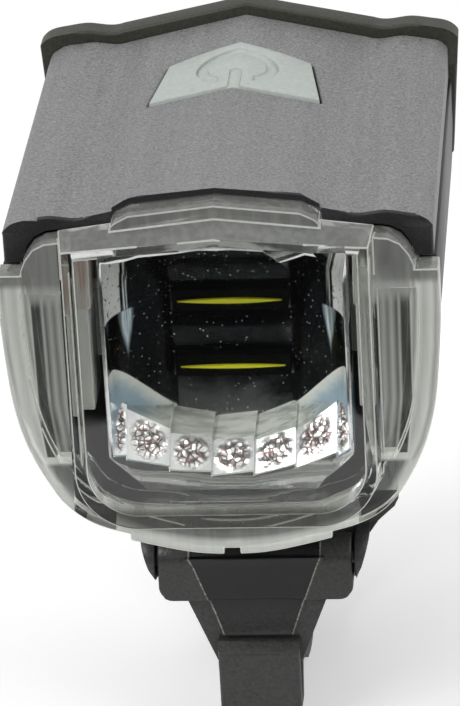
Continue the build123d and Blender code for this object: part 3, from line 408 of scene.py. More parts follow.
def plain_finish(name, dark, light, rough, size, depth, metal=0.0, worn=0.0):
    """A material whose tone, roughness and relief vary with the grain and the handling marks."""
    material, tree, shader = new_finish(name, Metallic=metal)
    grains = new_node(tree, "Group", node_tree=grain, Size=size)
    marks = new_node(tree, "Group", node_tree=wear)
    tone = grains.outputs["Tone"]
    if worn:
        rubbed = new_node(tree, "Group", node_tree=drawn, Size=RUBBED_SIZE, Y=RUBBED_ALONG_Y, Z=1.0)
        fresh = maths(tree, "MULTIPLY", tone, 1 - worn)
        tone = maths(tree, "MULTIPLY_ADD", rubbed.outputs["Streak"], worn, fresh)
    tree.links.new(blend_tones(tree, tone, dark, light), shader.inputs["Base Color"])
    gloss = spread(tree, marks.outputs["Smudge"], 0.0, 1.0, rough - GLOSS_RANGE, rough + GLOSS_RANGE)
    relief = new_node(tree, "Bump", Strength=RELIEF_STRENGTH, Distance=depth)
    tree.links.new(gloss, shader.inputs["Roughness"])
    tree.links.new(grains.outputs["Height"], relief.inputs["Height"])
    tree.links.new(relief.outputs["Normal"], shader.inputs["Normal"])
    return material


# %% [markdown]
# Each row gives a dark and a light tone, a roughness, a grain size and a relief depth. The cover's grey tones
# are a painted sheen, standing for light that grazes its black plastic. The cover is also rubbed a little
# along its length. The LED packages hardly shine, so that only the phosphor shows.

# %% Plain finishes
FINISH_ROWS = {
    # The cover's grey level is a painted sheen: its plastic is black, and light grazing its top looks grey.
    "cover_plastic": ((0.11, 0.11, 0.114), (0.34, 0.34, 0.347), 0.5, 3600, 4e-5),
    "housing_plastic": ((0.012, 0.012, 0.013), (0.03, 0.03, 0.032), 0.42, 3000, 2e-5),
    "bracket_plastic": ((0.025, 0.025, 0.025), (0.06, 0.06, 0.058), 0.42, 3600, 3e-5),
    "button_plastic": ((0.45, 0.49, 0.46), (0.53, 0.57, 0.54), 0.45, 1600, 1e-5),
    "phosphor": ((0.7, 0.68, 0.01), (0.95, 0.9, 0.04), 0.55, 9000, 1e-5),
    "circuit_board": ((0.02, 0.12, 0.05), (0.03, 0.16, 0.07), 0.35, 900, 1e-5),
    "black_parts": ((0.01, 0.01, 0.01), (0.03, 0.03, 0.03), 0.45, 2500, 1e-5),
    "led_packages": ((0.001, 0.001, 0.001), (0.004, 0.004, 0.004), 0.75, 4000, 1e-5),
    "steel": ((0.5, 0.5, 0.51), (0.62, 0.62, 0.63), 0.3, 2200, 1e-5),
    "sink_aluminium": ((0.6, 0.61, 0.62), (0.75, 0.76, 0.77), 0.35, 1800, 1e-5),
    "cell_wrap": ((0.03, 0.12, 0.3), (0.04, 0.16, 0.38), 0.25, 500, 1e-5),
    "foam": ((0.03, 0.03, 0.03), (0.07, 0.07, 0.07), 0.9, 2500, 8e-5),
    "rubber": ((0.012, 0.012, 0.012), (0.026, 0.026, 0.026), 0.7, 2600, 3e-5),
    "washer_nylon": ((0.55, 0.54, 0.5), (0.7, 0.69, 0.65), 0.4, 900, 1e-5),
}
METALS, COVER_WORN, PACKAGE_SHINE = ("steel", "sink_aluminium"), 0.1, 0.05

finishes = {}
for slot, row in FINISH_ROWS.items():
    worn = COVER_WORN if slot == "cover_plastic" else 0.0
    finishes[slot] = plain_finish(slot.replace("_", " "), *row, metal=float(slot in METALS), worn=worn)
package_shader = finishes["led_packages"].node_tree.nodes["Principled BSDF"]
package_shader.inputs["Specular IOR Level"].default_value = PACKAGE_SHINE
print("plain finishes:", len(finishes))

# %% [markdown]
# Clear plastic is glass with a lower refraction. Light from the lamps would not get through it without
# caustics, so a shadow ray sees it as transparent, slightly tinted. That keeps the inside of the lamp lit.

# %% Clear plastic and frosted edges
RIM_Y, LAMP_Z = -0.044, 0.0413
PLASTIC_IOR, GLASS_TINT, DOME_SHADE_TINT = 1.49, (0.97, 0.98, 0.965), (0.36, 0.36, 0.335)
FRAME_PAINTED_DARK, PALE_FROST_AND_PAINTED_LIGHT, FROST_TINT = (0.02, 0.022, 0.02), (0.93, 0.945, 0.9), (0.8, 0.82, 0.77)
CLEAR_SHADE, FROST_SHADE, MILK_SHADE = (0.92, 0.93, 0.92), (0.6, 0.6, 0.6), (0.75, 0.76, 0.74)
DOME_SHADE_FROM, DOME_SHADE_TO = LAMP_Z - 0.0153, LAMP_Z - 0.0162
CLEAR_ROUGH, FROST_ROUGH, MILK_ROUGH, ROUGH_RANGE, CLOUDY = 0.02, 0.42, 0.16, 0.06, 0.5


def clear_finish(name, transmission, rough, seen_tint):
    """Glass-like plastic that lets the lamps' light through: the material, its tree and its shader."""
    material, tree, shader = new_finish(name, IOR=PLASTIC_IOR, Transmission_Weight=transmission)
    smudged(tree, shader, rough, rough + ROUGH_RANGE)
    passing = new_node(tree, "BsdfTransparent")
    passing.inputs["Color"].default_value = (*seen_tint, 1)
    path, either = new_node(tree, "LightPath"), new_node(tree, "MixShader")
    tree.links.new(path.outputs["Is Shadow Ray"], either.inputs["Fac"])
    tree.links.new(shader.outputs[0], either.inputs[1])
    tree.links.new(passing.outputs[0], either.inputs[2])
    tree.links.new(either.outputs[0], tree.nodes["Material Output"].inputs["Surface"])
    return material, tree, shader


finishes["clear_plastic"], clear, clear_shader = clear_finish("clear plastic", 1.0, CLEAR_ROUGH, CLEAR_SHADE)
# Painted shade: below the facets the dome is tinted dark, which tones down the bright floor and world seen
# through it.
dome_painted_shade = step_up(clear, along(clear, "Z"), DOME_SHADE_FROM, DOME_SHADE_TO)
clear.links.new(blend_tones(clear, dome_painted_shade, GLASS_TINT, DOME_SHADE_TINT), clear_shader.inputs["Base Color"])

frosted_edge, frost, frost_shader = clear_finish("frosted edge", CLOUDY, FROST_ROUGH, FROST_SHADE)
frost_flow = new_node(frost, "Group", node_tree=drawn, Size=1400.0)
frost_tone = blend_tones(frost, frost_flow.outputs["Streak"], FROST_TINT, PALE_FROST_AND_PAINTED_LIGHT)
frost.links.new(frost_tone, frost_shader.inputs["Base Color"])
print("clear finishes:", finishes["clear_plastic"].name, frosted_edge.name)

# %% [markdown]
# The lens's frame is one thick milky moulding with painted light: pale where light is caught in its depth,
# and dark where the housing shows through. Its tone follows the distance from its outline, and inside the
# pocket the distance from the pocket's own edge. The first curves give the half width of the outline and of
# the pocket at every height.

# %% Outlines of the lens's frame
LENS_HALF, BELLY_DEPTH, BELLY_RISE = 0.02295, 0.0214, 15.7
OUTLINE_SHARES = ((0.0, -1.0), (0.24, -0.976), (0.466, -0.916), (0.64, -0.85), (0.745, -0.762),
                  (0.81, -0.664), (0.917, -0.42), (0.961, -0.234), (0.991, 0.079), (1.0, 0.29))
POCKET_SHARES = ((0.0, 0.7), (0.2, 0.78), (0.35, 0.825), (0.6, 0.86), (1.0, 0.866))

milky_frame_with_painted_light, milk, milk_shader = clear_finish("milky frame with painted light", CLOUDY, MILK_ROUGH, MILK_SHADE)
milk_side = maths(milk, "ABSOLUTE", along(milk, "X"))
milk_height = along(milk, "Z")
share_low, share_high = OUTLINE_SHARES[0][1], OUTLINE_SHARES[-1][1]
milk_level = spread(milk, milk_height, LAMP_Z + share_low * BELLY_DEPTH, LAMP_Z + share_high * BELLY_DEPTH)
outline_half = curve(milk, milk_level,
                     [((z - share_low) / (share_high - share_low), x) for x, z in OUTLINE_SHARES])
pocket_half = maths(milk, "MULTIPLY", curve(milk, milk_level, POCKET_SHARES), LENS_HALF)
in_pocket = maths(milk, "SUBTRACT", pocket_half, milk_side)
from_side = maths(milk, "SUBTRACT", maths(milk, "MULTIPLY", outline_half, LENS_HALF), milk_side)
side_squared = maths(milk, "MULTIPLY", milk_side, milk_side)
belly_z = maths(milk, "MULTIPLY_ADD", side_squared, BELLY_RISE, LAMP_Z - BELLY_DEPTH)
from_outline = maths(milk, "MINIMUM", from_side, maths(milk, "SUBTRACT", milk_height, belly_z))
print("frame outline:", len(OUTLINE_SHARES), "points")

# %% [markdown]
# The other curves give the tone at each distance: on the bead beside the pocket, on the plate below it and
# inside it. The tones then meet at the pocket's foot, top and edge.

# %% Tones of the lens's frame
# Painted light: pale bands stand for light caught in the frame, dark ones for the housing seen through it.
FRAME_REACH, POCKET_REACH, LINE_HALF = 0.007, 0.0036, 0.00008
BEAD_TONES = ((0.0, 1.0), (0.06, 0.55), (0.12, 0.95), (0.24, 0.7), (0.34, 1.0), (0.38, 0.5), (0.45, 0.95))
POCKET_TONES = ((0.0, 1.0), (0.05, 0.08), (0.28, 0.1), (0.34, 0.6), (0.42, 0.16), (0.56, 0.55), (0.68, 0.25),
                (0.8, 0.5), (0.94, 0.3), (0.97, 0.05))
PLATE_TONES = ((0.0, 0.85), (0.1, 0.8), (0.2, 0.2), (0.6, 0.12), (1.0, 0.2))
POCKET_FOOT_Z, FOOT_FADE, FOOT_LEDGE = LAMP_Z - 0.0112, 0.0003, 0.0008
POCKET_TOP_Z, EAR_TONE, EAR_FADE = LAMP_Z + 0.0078, 0.5, 0.0016
FRAME_TOP_Z, TONGUE_TONE, TONGUE_FADE = LAMP_Z + 0.0088, 0.3, 0.001
MILK_STREAK_SIZE, MILK_STREAK_SHARE = 1100.0, 0.08

frame_share = maths(milk, "DIVIDE", from_outline, FRAME_REACH)
pocket = step_up(milk, milk_height, POCKET_FOOT_Z - FOOT_FADE, POCKET_FOOT_Z + FOOT_FADE)
above = step_up(milk, milk_height, FRAME_TOP_Z, FRAME_TOP_Z + TONGUE_FADE)
milk_flow = new_node(milk, "Group", node_tree=drawn, Size=MILK_STREAK_SIZE)
plate_tone = curve(milk, frame_share, PLATE_TONES)
bead_tone = curve(milk, frame_share, BEAD_TONES)
pocket_tone = curve(milk, maths(milk, "DIVIDE", in_pocket, POCKET_REACH), POCKET_TONES)
foot_ledge = step_up(milk, milk_height, POCKET_FOOT_Z + FOOT_LEDGE + LINE_HALF, POCKET_FOOT_Z + FOOT_LEDGE)
pocket_tone = maths(milk, "MAXIMUM", pocket_tone, foot_ledge)


def fade(first, second, share):
    """A tone that goes from first to second with the share."""
    return maths(milk, "MULTIPLY_ADD", maths(milk, "SUBTRACT", second, first), share, first)


pocket_top = step_up(milk, milk_height, POCKET_TOP_Z - EAR_FADE, POCKET_TOP_Z)
pocket_tone = fade(pocket_tone, EAR_TONE, pocket_top)
side_tone = fade(bead_tone, pocket_tone, step_up(milk, in_pocket, -LINE_HALF, 0.0))
frame_tone_with_painted_light = fade(fade(plate_tone, side_tone, pocket), TONGUE_TONE, above)
milk_sway = maths(milk, "SUBTRACT", milk_flow.outputs["Streak"], 0.5)
frame_tone_with_painted_light = maths(milk, "MULTIPLY_ADD", milk_sway, MILK_STREAK_SHARE, frame_tone_with_painted_light)
milk.links.new(blend_tones(milk, frame_tone_with_painted_light, FRAME_PAINTED_DARK, PALE_FROST_AND_PAINTED_LIGHT), milk_shader.inputs["Base Color"])
print("milky finish:", milky_frame_with_painted_light.name)

# %% [markdown]
# The reflector is moulded plastic under a vapour coat of aluminium. Its bowl is painted dark further on, as a
# painted reflection of the dark that it faces.

# %% Mirror coat
MIRROR_ROW = ((0.78, 0.79, 0.8), (0.86, 0.87, 0.88), 0.12, 700, 5e-6)

finishes["mirror_coat"] = plain_finish("mirror coat", *MIRROR_ROW, metal=1.0)
print("mirror coat:", finishes["mirror_coat"].name)

# %% [markdown]
# Every CAD node now takes the finish of the slot that the record gives it.

# %% Dress the CAD nodes
slot_of = {row["node"]: row["material_slot"] for row in frame["record"]["subparts"]}
for node_name, node_object in frame["nodes"].items():
    node_object.data.materials.clear()
    node_object.data.materials.append(finishes[slot_of[node_name]])
print("dressed:", len(slot_of))

# %% [markdown]
# ## Rounded edges
# A CAD solid has knife edges, and no moulded piece does. A bevel on every sharp edge gives the thin light
# lines that make plastic look real. The copy's loose triangles are merged first and its flat faces joined,
# so that the bevel finds whole edges. The bevel's own faces may take a second finish, such as the frosted
# edges of the lens.

# %% Helpers for modelling
SLICE_PITCH = 0.0043


def deselect():
    """Back to object mode with nothing selected."""
    if bpy.context.object and bpy.context.object.mode != "OBJECT":
        bpy.ops.object.mode_set(mode="OBJECT")
    bpy.ops.object.select_all(action="DESELECT")


def pick(piece):
    """Make this piece the only selected one."""
    deselect()
    piece.select_set(True)
    bpy.context.view_layer.objects.active = piece


def finish_piece(piece, body, slot, *nodes):
    """Put the piece on its body and hide the CAD nodes that it stands for. The slot is not used."""
    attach(piece, body)
    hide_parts(*nodes)
    print(piece.name, "faces", len(piece.data.polygons))


def slice_up(low, high):
    """Cut the mesh along upright planes, and along level ones, so that no flat face runs round a hole."""
    for axis, normal in ((0, (1, 0, 0)), (2, (0, 0, 1))):
        for step in range(int((high[axis] - low[axis]) / SLICE_PITCH)):
            place = [0, 0, 0]
            place[axis] = low[axis] + (step + 0.5) * SLICE_PITCH
            bpy.ops.mesh.select_all(action="SELECT")
            bpy.ops.mesh.bisect(plane_co=place, plane_no=normal)


# %% [markdown]
# A bevel that is too wide for its place folds over, and such a face's outline crosses itself. Its triangles
# then cover more than its own area. These helpers find the places, so that the next try leaves them sharp.

# %% Helpers that find folded faces
FLAT_ENOUGH, SEEN_AREA = 1.002, 1e-8
PARALLEL, SHARE_END = 1e-16, 1e-4


def crossing(a, b, c, d):
    """The share of the segment a-b at which c-d crosses it in the plane, or None."""
    run, rise = b - a, d - c
    turn = run.x * rise.y - run.y * rise.x
    if abs(turn) < PARALLEL:
        return None
    first = ((c.x - a.x) * rise.y - (c.y - a.y) * rise.x) / turn
    second = ((c.x - a.x) * run.y - (c.y - a.y) * run.x) / turn
    return first if SHARE_END < first < 1 - SHARE_END and SHARE_END < second < 1 - SHARE_END else None


def crossed_places(mesh):
    """Where the outline of a face crosses itself, which a bevel that is too wide for its place causes."""
    mesh.calc_loop_triangles()
    filled = [0.0] * len(mesh.polygons)
    for triangle in mesh.loop_triangles:
        filled[triangle.polygon_index] += triangle.area
    places = []
    for face in mesh.polygons:
        if filled[face.index] < face.area * FLAT_ENOUGH + SEEN_AREA:
            continue
        flat = face.normal.to_track_quat("Z", "Y").to_matrix().transposed()
        solid = [mesh.vertices[v].co for v in face.vertices]
        ring = [(flat @ corner).xy for corner in solid]
        count = len(ring)
        found = [solid[i].lerp(solid[(i + 1) % count], hit) for i in range(count) for j in range(i + 2, count)
                 if (hit := crossing(ring[i], ring[(i + 1) % count], ring[j], ring[(j + 1) % count]))]
        places += found or [face.center.copy()]
    return places


def gap_to_run(spot, start, end):
    """How far a spot is from the segment between start and end."""
    run = end - start
    share = max(0.0, min(1.0, (spot - start).dot(run) / run.length_squared))
    return (spot - start - run * share).length


# %% [markdown]
# The bevel is tried a few times, each time with the edges near the folded places left out.

# %% Helpers that bevel
MERGE, SHORT_EDGE, FLAT_DEGREES = 2e-6, 5e-5, 0.5
BEVEL_TRIES, BEVEL_ROOM = 6, 3.0


def bevel_sharp(piece, sharp, width, segments, angle, spots, edge_finish):
    """Bevel the piece's edges that are sharper than angle and clear of the spots."""
    piece.data = sharp.copy()
    bpy.ops.object.mode_set(mode="EDIT")
    bpy.ops.mesh.select_mode(type="EDGE")
    bpy.ops.mesh.select_all(action="DESELECT")
    bpy.ops.mesh.edges_select_sharp(sharpness=math.radians(angle))
    bpy.ops.object.mode_set(mode="OBJECT")
    corners = piece.data.vertices
    for edge in piece.data.edges:
        if edge.select:
            start, end = (corners[v].co for v in edge.vertices)
            edge.select = all(gap_to_run(spot, start, end) > BEVEL_ROOM * width for spot in spots)
    bpy.ops.object.mode_set(mode="EDIT")
    bpy.ops.mesh.bevel(offset=width, segments=segments, affect="EDGES", clamp_overlap=False,
                       material=1 if edge_finish else -1)
    bpy.ops.object.mode_set(mode="OBJECT")


def soften(node_name, piece_name, body, width, segments=2, angle=32.0, edge_finish=None):
    """A copy of a CAD node with its sharp edges rounded by this width, in metres."""
    source = frame["nodes"][node_name]
    piece = bpy.data.objects.new(piece_name, source.data.copy())
    scene.collection.objects.link(piece)
    pick(piece)
    bpy.ops.object.mode_set(mode="EDIT")
    bpy.ops.mesh.select_all(action="SELECT")
    bpy.ops.mesh.remove_doubles(threshold=MERGE)
    bpy.ops.mesh.customdata_custom_splitnormals_clear()
    bpy.ops.mesh.dissolve_limited(angle_limit=math.radians(FLAT_DEGREES))
    slice_up(*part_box(node_name))
    bpy.ops.mesh.select_all(action="SELECT")
    bpy.ops.mesh.remove_doubles(threshold=SHORT_EDGE)
    bpy.ops.object.mode_set(mode="OBJECT")
    if edge_finish:
        piece.data.materials.append(edge_finish)
    sharp, spots = piece.data, []
    for attempt in range(BEVEL_TRIES):
        bevel_sharp(piece, sharp, width, segments, angle, spots, edge_finish)
        crossed = crossed_places(piece.data)
        if not crossed:
            break
        spots += crossed
    print(piece_name, "tries", attempt + 1, "still crossed", len(crossed))
    bpy.ops.object.shade_smooth_by_angle(angle=math.radians(angle))
    finish_piece(piece, body, slot_of[node_name], node_name)
    return piece


# %% [markdown]
# The shells and the clamp have the rounding of thick mouldings. The button, the flap and the clear pieces are
# crisper, and the clear ones get frosted edges.

# %% Shells and clamp with rounded edges
SHELL_ROUND, FLAP_ROUND, BUTTON_ROUND, LENS_ROUND, POST_ROUND = 0.0003, 0.0002, 0.00018, 0.00013, 0.00015

soft_cover = soften("top_cover", "roof_cover", "lamp", SHELL_ROUND, segments=3)
soft_cap = soften("rear_cap", "rear_collar", "lamp", SHELL_ROUND, segments=3)
soften("lower_housing", "lower_tub", "lamp", SHELL_ROUND)
soften("push_button", "power_button", "button", BUTTON_ROUND)
soft_bracket = soften("bracket_body", "clamp_bracket", "bracket", SHELL_ROUND)
soft_lever = soften("clamp_lever", "quick_lever", "lever", SHELL_ROUND, segments=3)
soften("clamp_jaw", "lower_jaw", "jaw", SHELL_ROUND)
soften("usb_cover", "port_flap", "flap", FLAP_ROUND)
soft_lens = soften("front_lens", "clear_front", "lamp", LENS_ROUND, edge_finish=frosted_edge)
soft_posts = [soften("light_guide_" + side, "light_post_" + side, "lamp", POST_ROUND,
                     edge_finish=frosted_edge) for side in ("left", "right")]

# %% [markdown]
# Some pieces change their finish from place to place. The lens is clear only in its dome, and its thick frame
# scatters light like milk and carries bands of painted light. The cover's faces that look forward keep the
# black of its plastic, while its other faces show a painted grey sheen.

# %% Finishes by place
DOME_HALF, DOME_TOP_Z, DOME_LOW_Z = 0.0165, LAMP_Z + 0.0158, LAMP_Z - 0.0178
LIP_DEPTH, LIP_SLOPE = 0.0012, -0.25
ROOF_SLOPE, ROOF_FROM_Z = 0.8, LAMP_Z + 0.0115
COLLAR_ROW = ((0.02, 0.02, 0.015), (0.05, 0.05, 0.037), 0.5, 2600, 2e-5)


def paint(piece, finish, chosen):
    """Give the chosen faces another finish."""
    piece.data.materials.append(finish)
    count = 0
    for face in piece.data.polygons:
        if face.material_index == 0 and chosen(face):
            face.material_index = len(piece.data.materials) - 1
            count += 1
    print(piece.name, finish.name, "faces", count)


def in_frame(face):
    """True on the lens's frame, outside the dome, and on the dome's roof."""
    inside = abs(face.center.x) < DOME_HALF and DOME_LOW_Z < face.center.z < DOME_TOP_Z
    roof = face.normal.z > ROOF_SLOPE and face.center.z > ROOF_FROM_Z
    return roof or not inside


paint(soft_lens, milky_frame_with_painted_light, in_frame)
# The cover's forward faces keep the black plastic; the rest keep the painted grey sheen of its top.
paint(soft_cover, finishes["housing_plastic"],
      lambda face: face.normal.y < LIP_SLOPE and face.center.y < RIM_Y + LIP_DEPTH)
soft_cap.data.materials[0] = plain_finish("collar plastic", *COLLAR_ROW)

# %% [markdown]
# The lever's ramp has a painted shadow, deepening upwards in the shade under the lamp's body, between
# painted highlights on its edges, and the wings and the tab are lighter. The ramp grows wider upwards, so its
# half width is read from the height.

# %% Lever finish
RAMP_TOP_Z, RAMP_LOW_Z, RAMP_TOP_HALF, RAMP_LOW_HALF = 0.006, -0.0041, 0.0074, 0.0038
RAMP_LINE, LINE_CORE, TAB_FADE, RAMP_FULL_Z, RAMP_LOW_SHARE = 0.00012, 0.4, 0.0002, 0.002, 0.45
LEVER_SHADOW, LEVER_GREY, LEVER_LIGHT = (0.003, 0.003, 0.003), (0.024, 0.024, 0.023), (0.052, 0.052, 0.05)
LEVER_HIGHLIGHT, LEVER_GRAIN, LEVER_RELIEF, LEVER_ROUGH = (0.4, 0.39, 0.33), 2600.0, 3e-5, (0.34, 0.46)

lever_finish, lever, lever_shader = new_finish("lever plastic")
lever_grain = new_node(lever, "Group", node_tree=grain, Size=LEVER_GRAIN)
lever_height, lever_side = along(lever, "Z"), maths(lever, "ABSOLUTE", along(lever, "X"))
ramp_half = spread(lever, lever_height, RAMP_LOW_Z, RAMP_TOP_Z, RAMP_LOW_HALF, RAMP_TOP_HALF)
in_ramp = maths(lever, "SUBTRACT", ramp_half, lever_side)
above_tab = step_up(lever, lever_height, RAMP_LOW_Z, RAMP_LOW_Z + TAB_FADE)
# Painted highlights along the ramp's edges, and a painted shadow on the ramp that deepens upwards.
ramp_painted_highlight = step_up(lever, maths(lever, "ABSOLUTE", in_ramp), RAMP_LINE, LINE_CORE * RAMP_LINE)
ramp_painted_highlight = maths(lever, "MULTIPLY", ramp_painted_highlight, above_tab)
ramp_painted_highlight = maths(lever, "MULTIPLY", ramp_painted_highlight, lever_grain.outputs["Tone"])
ramp_painted_shadow = maths(lever, "MULTIPLY", step_up(lever, in_ramp, 0.0, RAMP_LINE), above_tab)
shadow_rise = step_up(lever, lever_height, RAMP_LOW_Z, RAMP_FULL_Z, RAMP_LOW_SHARE, 1.0)
ramp_painted_shadow = maths(lever, "MULTIPLY", ramp_painted_shadow, shadow_rise)
lever_tone = blend_tones(lever, lever_grain.outputs["Tone"], LEVER_GREY, LEVER_LIGHT)
lever_tone = blend_tones(lever, ramp_painted_shadow, lever_tone, LEVER_SHADOW)
lever.links.new(blend_tones(lever, ramp_painted_highlight, lever_tone, LEVER_HIGHLIGHT), lever_shader.inputs["Base Color"])
lever_relief = new_node(lever, "Bump", Strength=RELIEF_STRENGTH, Distance=LEVER_RELIEF)
lever.links.new(lever_grain.outputs["Height"], lever_relief.inputs["Height"])
lever.links.new(lever_relief.outputs["Normal"], lever_shader.inputs["Normal"])
smudged(lever, lever_shader, *LEVER_ROUGH)
soft_lever.data.materials[0] = lever_finish
print("lever finish:", lever_finish.name)

# %% [markdown]
# The posts beside the reflector are milky, and above their step they show brown streaks of what lies behind.

# %% Post finish
POST_STEP_Z, STEP_FADE, POST_STREAKS, POST_ROUGH = LAMP_Z + 0.005, 0.0002, 1800.0, 0.15
POST_BROWN, POST_MILK = (0.5, 0.36, 0.32), (0.72, 0.73, 0.69)

post_finish, post, post_shader = new_finish("post plastic", IOR=PLASTIC_IOR, Transmission_Weight=CLOUDY,
                                            Roughness=POST_ROUGH)
post_flow = new_node(post, "Group", node_tree=drawn, Size=POST_STREAKS)
post_upper = step_up(post, along(post, "Z"), POST_STEP_Z - STEP_FADE, POST_STEP_Z + STEP_FADE)
post_stripes = maths(post, "MULTIPLY", post_upper, post_flow.outputs["Streak"])
post.links.new(blend_tones(post, post_stripes, POST_MILK, POST_BROWN), post_shader.inputs["Base Color"])
for soft_post in soft_posts:
    soft_post.data.materials[0] = post_finish
print("posts:", len(soft_posts))

# %% [markdown]
# The cheeks that hold the lever's pin grow thinner towards their ends, so their outer faces lean in to the
# lever. The pin is drawn in with them.

# %% Cheeks that taper
CHEEK_IN, CHEEK_FOOT_Z, CHEEK_TOP_Z, CHEEK_LEAST = 0.0113, 0.0023, 0.0086, 0.06
PIN_ROUND = 0.00008


def taper(piece):
    """Draw in what lies outside the lever's shoulders, more and more towards the cheeks' ends."""
    for vertex in piece.data.vertices:
        x, y, z = vertex.co
        if abs(x) > CHEEK_IN and y < 0:
            share = max(CHEEK_LEAST, min(1.0, (z - CHEEK_FOOT_Z) / (CHEEK_TOP_Z - CHEEK_FOOT_Z)))
            vertex.co.x = math.copysign(CHEEK_IN + (abs(x) - CHEEK_IN) * share, x)


soft_pin = soften("lever_pin", "lever_axle", "bracket", PIN_ROUND)
taper(soft_bracket)
taper(soft_pin)

# %% [markdown]
# The two lines of phosphor look thinner in the photograph than the CAD strips, so a copy is drawn in towards
# the middle line of each strip.

# %% Slivers of phosphor
UPPER_SHARE, LOWER_SHARE = 0.7, 0.5

sliver = bpy.data.objects.new("phosphor_slivers", frame["nodes"]["phosphor_strips"].data.copy())
scene.collection.objects.link(sliver)
middle_z = sum(v.co.z for v in sliver.data.vertices) / len(sliver.data.vertices)
for share, upper in ((UPPER_SHARE, True), (LOWER_SHARE, False)):
    group = [v for v in sliver.data.vertices if (v.co.z > middle_z) == upper]
    level = (min(v.co.z for v in group) + max(v.co.z for v in group)) / 2
    for vertex in group:
        vertex.co.z = level + (vertex.co.z - level) * share
finish_piece(sliver, "lamp", "phosphor", "phosphor_strips")

# %% [markdown]
# ## Reflector
# The reflector is one bright moulding, but its bowl, its crescent ledge and its facets look different. The
# copy of the CAD shape keeps the bowl and the ledge, and its bowl takes the dark finish by place. Bright
# shapes at the bowl's sides are drawn where the photograph shows them: a streak and a white corner above a
# step, and a blue shape below it.

# %% Bowl coat: places and painted reflections at the sides
STREAK_X, STREAK_HALF, STREAK_CORE, BLUE_HALF, BLUE_EDGE = 0.0108, 0.0003, 0.3, 0.0009, 0.0005
CORNER_X, CORNER_CELLS, STEP_Z, BLUE_FOOT_Z = 0.0112, (0.95, 0.7), LAMP_Z + 0.0023, LAMP_Z - 0.0048
SOFT_STEP, BLUE_LEAST = 0.00012, 0.6

bowl_painted_reflections, bowl, bowl_shader = new_finish("bowl coat with painted reflections")
bowl_side = maths(bowl, "ABSOLUTE", along(bowl, "X"))
bowl_height = along(bowl, "Z")
bowl_drawn = new_node(bowl, "Group", node_tree=drawn, Size=2200.0)
bowl_marks = new_node(bowl, "Group", node_tree=wear)
bowl_marks.inputs["Dust size"].default_value = 1500.0
bowl_cells = new_node(bowl, "TexVoronoi", Scale=2400.0)
bowl_at = new_node(bowl, "TexCoord")
bowl.links.new(bowl_at.outputs["Object"], bowl_cells.inputs["Vector"])
off_streak = maths(bowl, "ABSOLUTE", maths(bowl, "SUBTRACT", bowl_side, STREAK_X))
above_step = step_up(bowl, bowl_height, STEP_Z - SOFT_STEP, STEP_Z + SOFT_STEP)
below_step = maths(bowl, "SUBTRACT", 1.0, above_step)
# Painted reflections: a streak and a white corner above the step, and a blue shape below it.
streak = step_up(bowl, off_streak, STREAK_HALF, STREAK_CORE * STREAK_HALF)
streak = maths(bowl, "MULTIPLY", maths(bowl, "MULTIPLY", streak, above_step), bowl_drawn.outputs["Streak"])
corner = maths(bowl, "MULTIPLY", step_up(bowl, bowl_side, CORNER_X, CORNER_X + SOFT_STEP), above_step)
corner = maths(bowl, "MULTIPLY", corner, step_up(bowl, bowl_cells.outputs["Distance"], *CORNER_CELLS))
blue_half = step_up(bowl, bowl_height, BLUE_FOOT_Z, STEP_Z, 0.0, BLUE_HALF)
blue = step_up(bowl, maths(bowl, "SUBTRACT", blue_half, off_streak), 0.0, BLUE_EDGE)
blue_flow = step_up(bowl, bowl_drawn.outputs["Streak"], 0.0, 1.0, BLUE_LEAST, 1.0)
blue = maths(bowl, "MULTIPLY", maths(bowl, "MULTIPLY", blue, blue_flow), below_step)
print("bowl step at", round(STEP_Z * 1000, 1), "mm")

# %% [markdown]
# A cloudy panel is painted in the middle of the bowl's lower part as a reflection, and bright dust is
# scattered all over. The shapes are laid over the dark tone, itself a painted reflection, one after another.

# %% Bowl coat: painted panel, dust and tones
BOWL_REFLECTED_DARK, BOWL_CLOUD, BOWL_REFLECTED_PANEL = (0.008, 0.009, 0.01), (0.06, 0.062, 0.06), (0.075, 0.08, 0.08)
BOWL_WHITE, BOWL_BLUE = (0.98, 0.98, 0.98), (0.7, 0.8, 0.86)
PANEL_HALF, PANEL_TOP_Z, PANEL_CLOUD, PANEL_LEAST = 0.0061, LAMP_Z - 0.0064, (0.35, 0.65), 0.15
DUST_SHARE, CLOUD_BAND = 0.7, (0.55, 0.8)

panel = maths(bowl, "MULTIPLY", step_up(bowl, bowl_side, PANEL_HALF + SOFT_STEP, PANEL_HALF),
              step_up(bowl, bowl_height, PANEL_TOP_Z + SOFT_STEP, PANEL_TOP_Z))
panel_cloud = step_up(bowl, bowl_marks.outputs["Smudge"], *PANEL_CLOUD, PANEL_LEAST, 1.0)
panel = maths(bowl, "MULTIPLY", panel, panel_cloud)
white = maths(bowl, "MAXIMUM", maths(bowl, "MAXIMUM", streak, corner),
              maths(bowl, "MULTIPLY", bowl_marks.outputs["Dust"], DUST_SHARE))
bowl_cloud = step_up(bowl, bowl_marks.outputs["Smudge"], *CLOUD_BAND)
# Painted reflection: the coat's dark tone and its panel stand for the dark that the mirror bowl reflects.
bowl_tone = blend_tones(bowl, bowl_cloud, BOWL_REFLECTED_DARK, BOWL_CLOUD)
bowl_tone = blend_tones(bowl, panel, bowl_tone, BOWL_REFLECTED_PANEL)
bowl_tone = blend_tones(bowl, blue, bowl_tone, BOWL_BLUE)
bowl_tone = blend_tones(bowl, white, bowl_tone, BOWL_WHITE)
print("bowl finish so far:", len(bowl.nodes), "nodes")

# %% [markdown]
# The ledge's crescent goes on up the bowl's sides. There it is cream along its upper line and blue below, and
# where a bright shape lies, the coat is less of a mirror.

